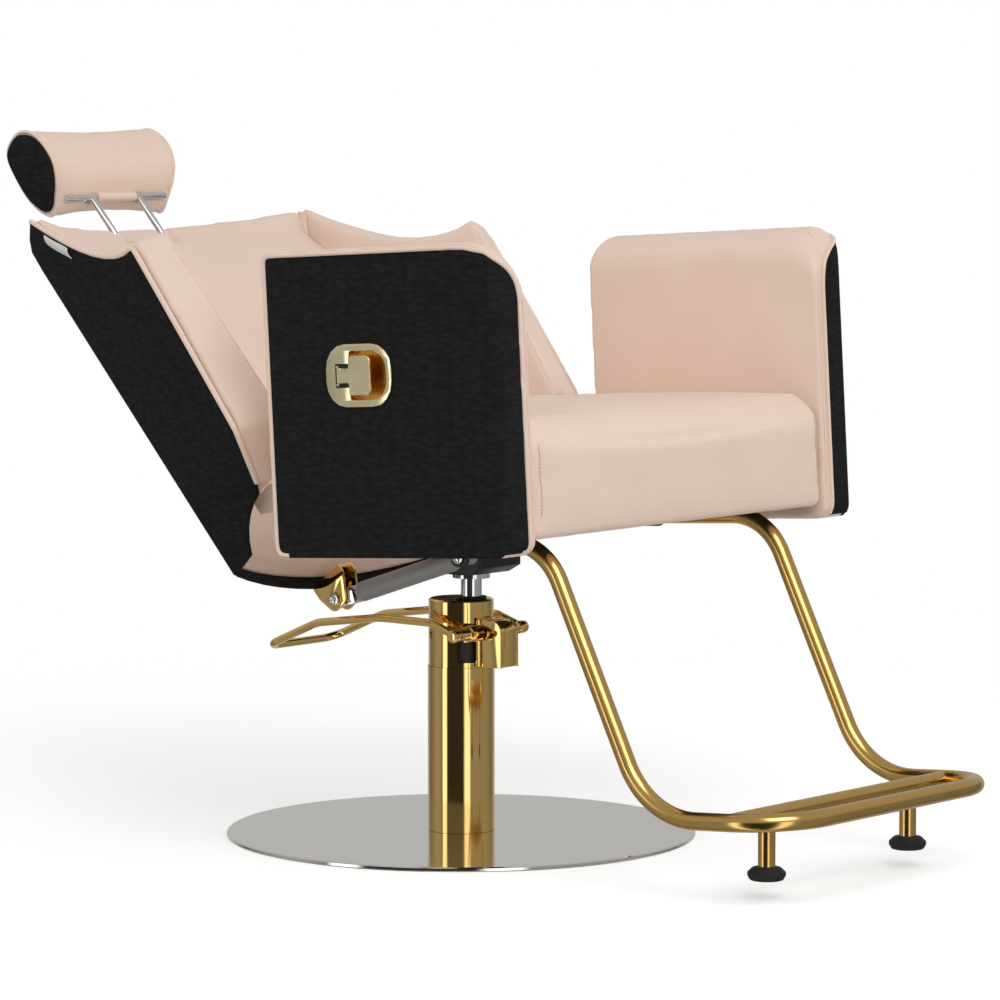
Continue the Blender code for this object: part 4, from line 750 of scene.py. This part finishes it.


# Recline latch: a die-cast plate, plated pale gold, let into the right arm with an amber well behind it.
# The paddle turns on an upright pin, and two screws hold the well's floor.
# A thin black rubber sheet on the plate round the paddle's stem is painted shade: it draws the dark gap round
# the paddle.
pale_gold, *_ = plated("pale gold plate", "FCEFC0", 0.20, 0.28, 0.020)
amber, *_ = plated("amber lacquered brass", "F2B445", 0.24, 0.34, 0.015)
skinned("latch_plate", pale_gold, 0.0007)
skinned("latch_cup", amber)
skinned("latch_paddle", pale_gold)
skinned("latch_pin", pale_gold)
# Painted shade: a black sheet 0.4 mm thick in place of the dark gap round the paddle's stem.
SHADE_SHEET_X, SHADE_SHEET_HALF = -0.35295, 0.0002
SHADE_SHEET_FRONT, SHADE_SHEET_REAR = -0.1160, -0.0945
SHADE_SHEET_LOW, SHADE_SHEET_HIGH = 0.2295, 0.2585
form = slab(oblong(SHADE_SHEET_FRONT, SHADE_SHEET_REAR, SHADE_SHEET_LOW, SHADE_SHEET_HIGH), SHADE_SHEET_X - SHADE_SHEET_HALF, SHADE_SHEET_X + SHADE_SHEET_HALF)
bmesh.ops.transform(form, matrix=Matrix.Translation(RAKE_POINT) @ seat_turn.to_4x4(), verts=form.verts)
piece("latch_shade_sheet", form, rubber, "seat")
LATCH_SCREW_SHARES = (0.24, 0.76)
LATCH_SCREW_SINK, LATCH_SCREW_INSET = 0.0016, 0.012
LATCH_SCREW_RADIUS = 0.0042
well_low, well_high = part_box("latch_cup")
for index, share in enumerate(LATCH_SCREW_SHARES):
    up = well_low.z + share * (well_high.z - well_low.z)
    place = Vector((well_high.x - LATCH_SCREW_SINK, well_low.y + LATCH_SCREW_INSET, up))
    head = screw("latch_screw_%d" % (index + 1), place, (-1, 0, 0), LATCH_SCREW_RADIUS, "seat")
    head.data.materials[0] = amber


# Backrest: a bent ply shell in black cloth, with a broad flared wing on each side.
# Separate blush pads line the middle and the wings, and meet at sewn seams; a welt follows the rim.
# Gussets fill the shell's corners, and blush covers hide the hinges and the headrest's guides.
LEAN_POINT = Vector((0.0, 0.040, 0.395))
RECLINE = math.radians(41.6)
back_turn = Matrix.Rotation(-RECLINE, 3, "X")


def in_back(x, y, z):
    """A point of the leaning backrest's frame, in the chair's frame."""
    return LEAN_POINT + back_turn @ Vector((x, y, z))


WING_FOOT = Vector((0.290, -0.012, 0.088))
WING_KNEE = Vector((0.346, -0.070, 0.130))
WING_TIP = Vector((0.352, -0.092, 0.403))
WING_REAR = Vector((0.271, 0.088, 0.590))
WING_TOP = 0.588
TOP_POWER = 1.74
PAD_PASSES, PAD_SWELL = 8, 0.0014
SHELL_FOOT, SHELL_CORNER, SHELL_RISE = 0.032, 0.590, 0.036
SHELL_HALF_WIDTH, SHELL_BULGE = 0.271, 0.060


def rim_point(sign, across, inset, lift):
    """A point by a wing's upper edge, from its tip back to the corner of the shell."""
    spot = WING_TIP.lerp(WING_REAR, across)
    spot.z = WING_TIP.z + (WING_REAR.z - WING_TIP.z) * across ** TOP_POWER
    return in_back(sign * (spot.x - inset), spot.y, spot.z + lift)


def fuller(form):
    """Rounds off what is left of a pad's steps, and makes up the size that this takes."""
    for _ in range(PAD_PASSES):
        smoothed(form, 0.5)
    form.normal_update()
    for vert in form.verts:
        vert.co += vert.normal * PAD_SWELL


def wing_form(form):
    """Makes a wing's pad fuller, and trims the point at its rear end level with the shell's corner."""
    fuller(form)
    for vert in form.verts:
        spot = back_turn.transposed() @ (vert.co - LEAN_POINT)
        vert.co = in_back(spot.x, spot.y, min(spot.z, WING_TOP))


def shell_bend(form, forward):
    """Gives a flat form the shell's sideways bulge and arched top, or takes them off."""
    for vert in form.verts:
        spot = back_turn.transposed() @ (vert.co - LEAN_POINT)
        swell = 1 - (spot.x / SHELL_HALF_WIDTH) ** 2
        arch = 1 + SHELL_RISE * swell / (SHELL_CORNER - SHELL_FOOT)
        spot.y += SHELL_BULGE * swell if forward else -SHELL_BULGE * swell
        spot.z = SHELL_FOOT + (spot.z - SHELL_FOOT) * (arch if forward else 1 / arch)
        vert.co = in_back(*spot)


RIM_RADIUS, RIM_INSET, RIM_LIFT, RIM_START = 0.0034, 0.0045, 0.003, 0.03
GUSSET_SIDE, GUSSET_REAR, GUSSET_RADIUS = 0.2570, 0.1025, 0.0095
GUSSET_LOW, GUSSET_LENGTH = 0.480, 0.107
GUSSET_BEND, GUSSET_REACH, GUSSET_CURL = 0.550, 0.040, 0.024
SEAM_FOOT = Vector((0.258, -0.020, 0.088))
SEAM_KNEE = Vector((0.270, -0.088, 0.130))
SEAM_TIP = Vector((0.300, -0.110, 0.403))
SEAM_END_LIFT = Vector((0, 0, 0.008))
WING_SEAM_RADIUS = 0.0009
STITCH_FOOT, STITCH_RUN = (0.245, -0.030, 0.120), (0.030, -0.010, 0.300)
STITCH_GAP = 0.006
covered("back_shell_cover", "back_panel", black_cloth, hem=0.0015)
upholstered("back_cover", "back_pad", blush, cell=0.0045, passes=20, pressure=3.0, reach=0.004,
            fit=fuller, bend=shell_bend)
for side, sign in SIDES:
    wing = upholstered("wing_cover_" + side, "wing_pad_" + side, blush, cell=0.0032, passes=14, fit=wing_form)
    covered("wing_outside_" + side, "back_side_" + side, black_cloth, hem=0.0015)
    covered("hinge_boot_" + side, "hinge_ear_" + side, blush, hem=0.0030)
    covered("hinge_sleeve_" + side, "hinge_arm_" + side, blush, hem=0.0050)
    covered("post_channel_" + side, "post_sleeve_" + side, blush, hem=0.0005)
    front = [WING_FOOT.lerp(WING_KNEE, i / 12) for i in range(12)]
    front += [WING_KNEE.lerp(WING_TIP, i / 40) for i in range(40)]
    rim = [in_back(sign * (p.x - RIM_INSET), p.y + RIM_INSET, p.z) for p in front]
    rim += [rim_point(sign, RIM_START + (1 - RIM_START) * i / 40, RIM_INSET, RIM_LIFT) for i in range(41)]
    rim = eased(even(rim, WELT_STEP), 10)
    tube("wing_welt_" + side, rim, RIM_RADIUS, blush, "back", sides=4)
    gusset = []
    for i in range(17):
        z = GUSSET_LOW + GUSSET_LENGTH * i / 16
        curl = GUSSET_CURL * max(0.0, (z - GUSSET_BEND) / GUSSET_REACH) ** 2
        gusset.append(in_back(sign * GUSSET_SIDE, GUSSET_REAR - curl, z))
    tube("corner_gusset_" + side, gusset, GUSSET_RADIUS, blush, "back", sides=5)
    seam = [SEAM_FOOT.lerp(SEAM_KNEE, i / 8) for i in range(8)]
    seam += [SEAM_KNEE.lerp(SEAM_TIP, i / 30) for i in range(31)]
    seam += [SEAM_TIP.lerp(WING_TIP, i / 8) + SEAM_END_LIFT for i in range(1, 8)]
    seam = [in_back(sign * p.x, p.y, p.z) for p in seam]
    welt("wing_seam_" + side, seam, surface_of(wing), WING_SEAM_RADIUS, "back", 14)
    for row in range(2):
        stitches = []
        for i in range(21):
            x, y, z = (foot + run * i / 20 for foot, run in zip(STITCH_FOOT, STITCH_RUN))
            stitches.append(in_back(sign * x, y - row * STITCH_GAP, z))
        stitched("wing_stitch_%s_%d" % (side, row + 1), stitches, surface_of(wing), "back")


# Blank woven tag: a satin ribbon of about 50 mm by 17 mm, sewn down under the right wing's rim.
# Warp bands a millimetre apart give it a faint ribbed sheen.
ribbon, tree, shader, place = new_finish("woven satin ribbon", "CFCFCC", 0.42)
bands = put(tree, "ShaderNodeTexWave", {"Vector": place, "Scale": 1 / 0.0010 / 20, "Distortion": 0.4},
            bands_direction="Z")
ribs = put(tree, "ShaderNodeBump", {"Height": bands.outputs["Fac"], "Strength": 0.4, "Distance": 0.0003})
tree.links.new(ribs.outputs["Normal"], shader.inputs["Normal"])
TAG_REAR, TAG_FRONT = 0.90, 0.73
TAG_HANG, TAG_HEIGHT, TAG_THICKNESS = 0.003, 0.017, 0.0007
TAG_LIFT, TAG_BELLY, TAG_WAVE = 0.0012, 0.0022, 0.0006
form = bmesh.new()
bmesh.ops.create_grid(form, x_segments=16, y_segments=6, size=1.0)
wing_side = surface_of(bpy.data.objects["wing_outside_right"])
for vert in form.verts:
    u, v = (vert.co.x + 1) / 2, (vert.co.y + 1) / 2
    flat = rim_point(-1, TAG_REAR + (TAG_FRONT - TAG_REAR) * u, 0.0, -TAG_HANG - TAG_HEIGHT * (1 - v))
    spot, normal, _, _ = wing_side.find_nearest(flat)
    vert.co = spot + normal * (TAG_LIFT + TAG_BELLY * math.sin(math.pi * v) + TAG_WAVE * math.sin(6 * u))
thickened(form, -TAG_THICKNESS)
piece("blank_tag", form, ribbon, "back", 60.0)


# Gas spring: a painted steel cylinder with a chromed rod, between lugs on the mount and on the backrest.
# Each end turns on a headed pin; the release cable runs from the mount to the seat plate.
enamel, tree, shader, place = new_finish("grey enamel", "8E8E8B", 0.36)
flow = put(tree, "ShaderNodeTexNoise", {"Vector": place, "Scale": 1 / 0.004, "Detail": 2.0})
film = put(tree, "ShaderNodeBump", {"Height": flow.outputs["Fac"], "Strength": 0.08, "Distance": 0.0003})
tree.links.new(film.outputs["Normal"], shader.inputs["Normal"])
skinned("spring_cylinder", enamel)
skinned("spring_rod", chrome, 0.0006)
skinned("spring_bracket", polished_brass, 0.0008)
PIN_HEAD_RADIUS = 0.0062
for node in ("spring_front_pin", "spring_rear_pin"):
    skinned(node, chrome, 0.0008)
    low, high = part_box(node)
    middle = (low + high) / 2
    screw(node + "_head", Vector((low.x, middle.y, middle.z)), (-1, 0, 0), PIN_HEAD_RADIUS, body_of[node])
skinned("release_cable", rubber)


# Headrest: a foam roll in blush leatherette with black cloth ends, on a chromed frame.
# The frame's two rods slide in sleeves inside the backrest, and its cross bar lies in the roll's groove.
# A sleeve of the same leatherette wraps the bar where the roll leaves it bare.
skinned("headrest_frame", chrome)
roll = upholstered("headrest_cover", "headrest_cushion", blush, cell=0.0030, passes=10, pressure=3.0,
                   reach=0.003)
TILT_POINT = Vector((0.0, 0.6040, 0.8043))
HEAD_HALF_WIDTH = 0.118
HEAD_TAPER = 0.0126
HEAD_BELLY = 0.063
HEAD_DROP = 0.071
HEAD_EDGE = 0.001
HEAD_WELT_RADIUS, HEAD_WELT_LIFT = 0.0024, 0.0008
SLEEVE_RADIUS, SLEEVE_HALF_WIDTH = 0.0066, 0.036
drop_outline = [
    (0.016, 0.106), (-0.008, 0.108), (-0.028, 0.092), (-0.036, 0.063), (-0.032, 0.036), (-0.018, 0.016),
    (0.002, 0.001), (0.018, -0.008), (0.031, -0.006), (0.038, 0.020), (0.036, 0.055), (0.030, 0.093),
]


def smooth_loop(keys, steps):
    """A closed smooth curve through plane key points."""
    points = []
    count = len(keys)
    for i in range(count):
        a, b, c, d = (Vector(keys[(i + k) % count]) for k in (-1, 0, 1, 2))
        for step in range(steps):
            t = step / steps
            points.append(b + 0.5 * t * (c - a + t * (2 * a - 5 * b + 4 * c - d + t * (3 * (b - c) + d - a))))
    return points


for side, sign in SIDES:
    end = covered("headrest_side_" + side, "headrest_end_" + side, black_cloth, hem=0.0008)
    loop = []
    for y, z in smooth_loop(drop_outline, 8):
        taper = HEAD_TAPER * (max(HEAD_BELLY - z, 0.0) / HEAD_DROP) ** 2
        loop.append(TILT_POINT + back_turn @ Vector((sign * (HEAD_HALF_WIDTH - taper + HEAD_EDGE), y, z)))
    loop = laid(loop + loop[:1], surface_of(roll, end), HEAD_WELT_LIFT, 6)[:-1]
    tube("headrest_welt_" + side, loop, HEAD_WELT_RADIUS, blush, "headrest",
         closed=True, sides=4)
sleeve = [TILT_POINT + Vector((SLEEVE_HALF_WIDTH * (i - 6) / 6, 0, 0)) for i in range(13)]
tube("headrest_sleeve", sleeve, SLEEVE_RADIUS, blush, "headrest", sides=5)


# Studio: a pale floor that fades into a white surround, large soft lamps, and a camera on the right side.
# The fade keeps the chair's shadow near the plate and leaves no horizon.
FLOOR_HALF = 6.0
form = bmesh.new()
bmesh.ops.create_grid(form, x_segments=1, y_segments=1, size=FLOOR_HALF)
floor = linked("studio_floor", mesh_of("studio_floor", form))
paper = bpy.data.materials.new("white floor paper")
paper.use_nodes = True
tree = paper.node_tree
tree.nodes.clear()
place = put(tree, "ShaderNodeTexCoord").outputs["Object"]
away = put(tree, "ShaderNodeVectorMath", {0: place}, operation="LENGTH")
fade = put(tree, "ShaderNodeMapRange", {"Value": away.outputs["Value"], "From Min": 0.7, "From Max": 1.9},
           interpolation_type="SMOOTHSTEP")
ray = put(tree, "ShaderNodeLightPath")
glow = put(tree, "ShaderNodeMath", {0: ray.outputs["Is Camera Ray"], 1: 0.34}, operation="MULTIPLY")
lit = put(tree, "ShaderNodeEmission", {"Color": (1, 1, 1, 1), "Strength": glow.outputs["Value"]})
matt = put(tree, "ShaderNodeBsdfDiffuse", {"Color": (0.88, 0.88, 0.88, 1)})
both = put(tree, "ShaderNodeAddShader", {0: lit.outputs["Emission"], 1: matt.outputs["BSDF"]})
clear = put(tree, "ShaderNodeBsdfTransparent")
gone = put(tree, "ShaderNodeMath", {0: fade.outputs["Result"], 1: ray.outputs["Is Glossy Ray"]},
           operation="MAXIMUM")
mixed = put(tree, "ShaderNodeMixShader", {0: gone.outputs["Value"], 1: both.outputs["Shader"],
                                          2: clear.outputs["BSDF"]})
put(tree, "ShaderNodeOutputMaterial", {"Surface": mixed.outputs["Shader"]})
floor.data.materials.append(paper)

# Surround: white to the camera, soft grey as a light, and in reflections a dim studio with two strip lights.
# Each wall of that studio is an angle in degrees round from the camera, to the right, with its brightness.
WALLS = [
    (-180, 0.50), (-150, 0.45), (-132, 0.15), (-95, 0.35), (-80, 0.35), (-68, 0.20),
    (-64, 2.00), (-54, 2.00), (-48, 0.03), (8, 0.03), (15, 1.60), (28, 1.60),
    (34, 0.30), (95, 0.30), (130, 0.18), (150, 0.45), (180, 0.50),
]
CAMERA_SIDE = Vector((-0.7754, -0.6314, 0.0))
world = bpy.data.worlds.new("white surround")
bpy.context.scene.world = world
world.use_nodes = True
tree = world.node_tree
tree.nodes.clear()
ray = put(tree, "ShaderNodeLightPath")
way = put(tree, "ShaderNodeTexCoord").outputs["Generated"]
ahead = put(tree, "ShaderNodeVectorMath", {0: way, 1: CAMERA_SIDE}, operation="DOT_PRODUCT")
aside = put(tree, "ShaderNodeVectorMath", {0: way, 1: Vector((-CAMERA_SIDE.y, CAMERA_SIDE.x, 0.0))},
            operation="DOT_PRODUCT")
angle = put(tree, "ShaderNodeMath", {0: aside.outputs["Value"], 1: ahead.outputs["Value"]},
            operation="ARCTAN2")
turn = put(tree, "ShaderNodeMapRange", {
    "Value": angle.outputs["Value"], "From Min": -math.pi, "From Max": math.pi,
})
walls = put(tree, "ShaderNodeValToRGB", {"Fac": turn.outputs["Result"]})
stops = walls.color_ramp.elements
while len(stops) < len(WALLS):
    stops.new(0.5)
for stop, (degrees, level) in zip(stops, WALLS):
    stop.position = (degrees + 180) / 360
    stop.color = (level, level, level, 1.0)
height = put(tree, "ShaderNodeSeparateXYZ", {"Vector": way})
rise = put(tree, "ShaderNodeMapRange", {"Value": height.outputs["Z"], "From Min": 0.10, "From Max": 0.30},
           interpolation_type="SMOOTHSTEP")
room = put(tree, "ShaderNodeMixRGB", {"Fac": rise.outputs["Result"], "Color1": walls.outputs["Color"],
                                      "Color2": (0.46, 0.46, 0.46, 1.0)})
seen = put(tree, "ShaderNodeMath", {0: ray.outputs["Is Camera Ray"], 1: ray.outputs["Is Transmission Ray"]},
           operation="MAXIMUM")
level = put(tree, "ShaderNodeMapRange", {"Value": seen.outputs["Value"], "To Min": 0.52, "To Max": 1.0})
plain = put(tree, "ShaderNodeBackground", {"Color": (1, 1, 1, 1), "Strength": level.outputs["Result"]})
studio = put(tree, "ShaderNodeBackground", {"Color": room.outputs["Color"], "Strength": 1.0})
sky = put(tree, "ShaderNodeMixShader", {0: ray.outputs["Is Glossy Ray"], 1: plain.outputs["Background"],
                                        2: studio.outputs["Background"]})
put(tree, "ShaderNodeOutputWorld", {"Surface": sky.outputs["Shader"]})


def lamp(name, place, aim, size, power, mirrored):
    """A square soft box that faces a point; one that isn't mirrored stays out of the metal's reflections."""
    light = bpy.data.lights.new(name, "AREA")
    light.size = size
    light.energy = power
    holder = linked(name, light)
    holder.location = place
    holder.rotation_euler = (Vector(aim) - Vector(place)).to_track_quat("-Z", "Y").to_euler()
    holder.visible_glossy = mirrored


lamp("key_box", (-1.6, -2.6, 3.0), (0.0, 0.0, 0.45), size=2.4, power=62.0, mirrored=True)
lamp("side_box", (3.0, -1.4, 2.0), (0.0, 0.0, 0.45), size=2.0, power=26.0, mirrored=False)
lamp("rear_box", (-1.8, 2.6, 2.4), (0.0, 0.1, 0.5), size=2.0, power=22.0, mirrored=False)

CAMERA_PLACE = Vector((-4.7416, -3.9242, 0.9895))
CAMERA_AIM = Vector((0.0614, -0.0140, 0.4258))
view = bpy.data.cameras.new("studio_camera")
view.sensor_width = 36.0
view.lens = 174.6
view.clip_end = 100.0
camera = linked("studio_camera", view)
camera.location = CAMERA_PLACE
camera.rotation_euler = (CAMERA_AIM - CAMERA_PLACE).to_track_quat("-Z", "Y").to_euler()
bpy.context.scene.camera = camera
bpy.context.scene.view_settings.view_transform = "Standard"
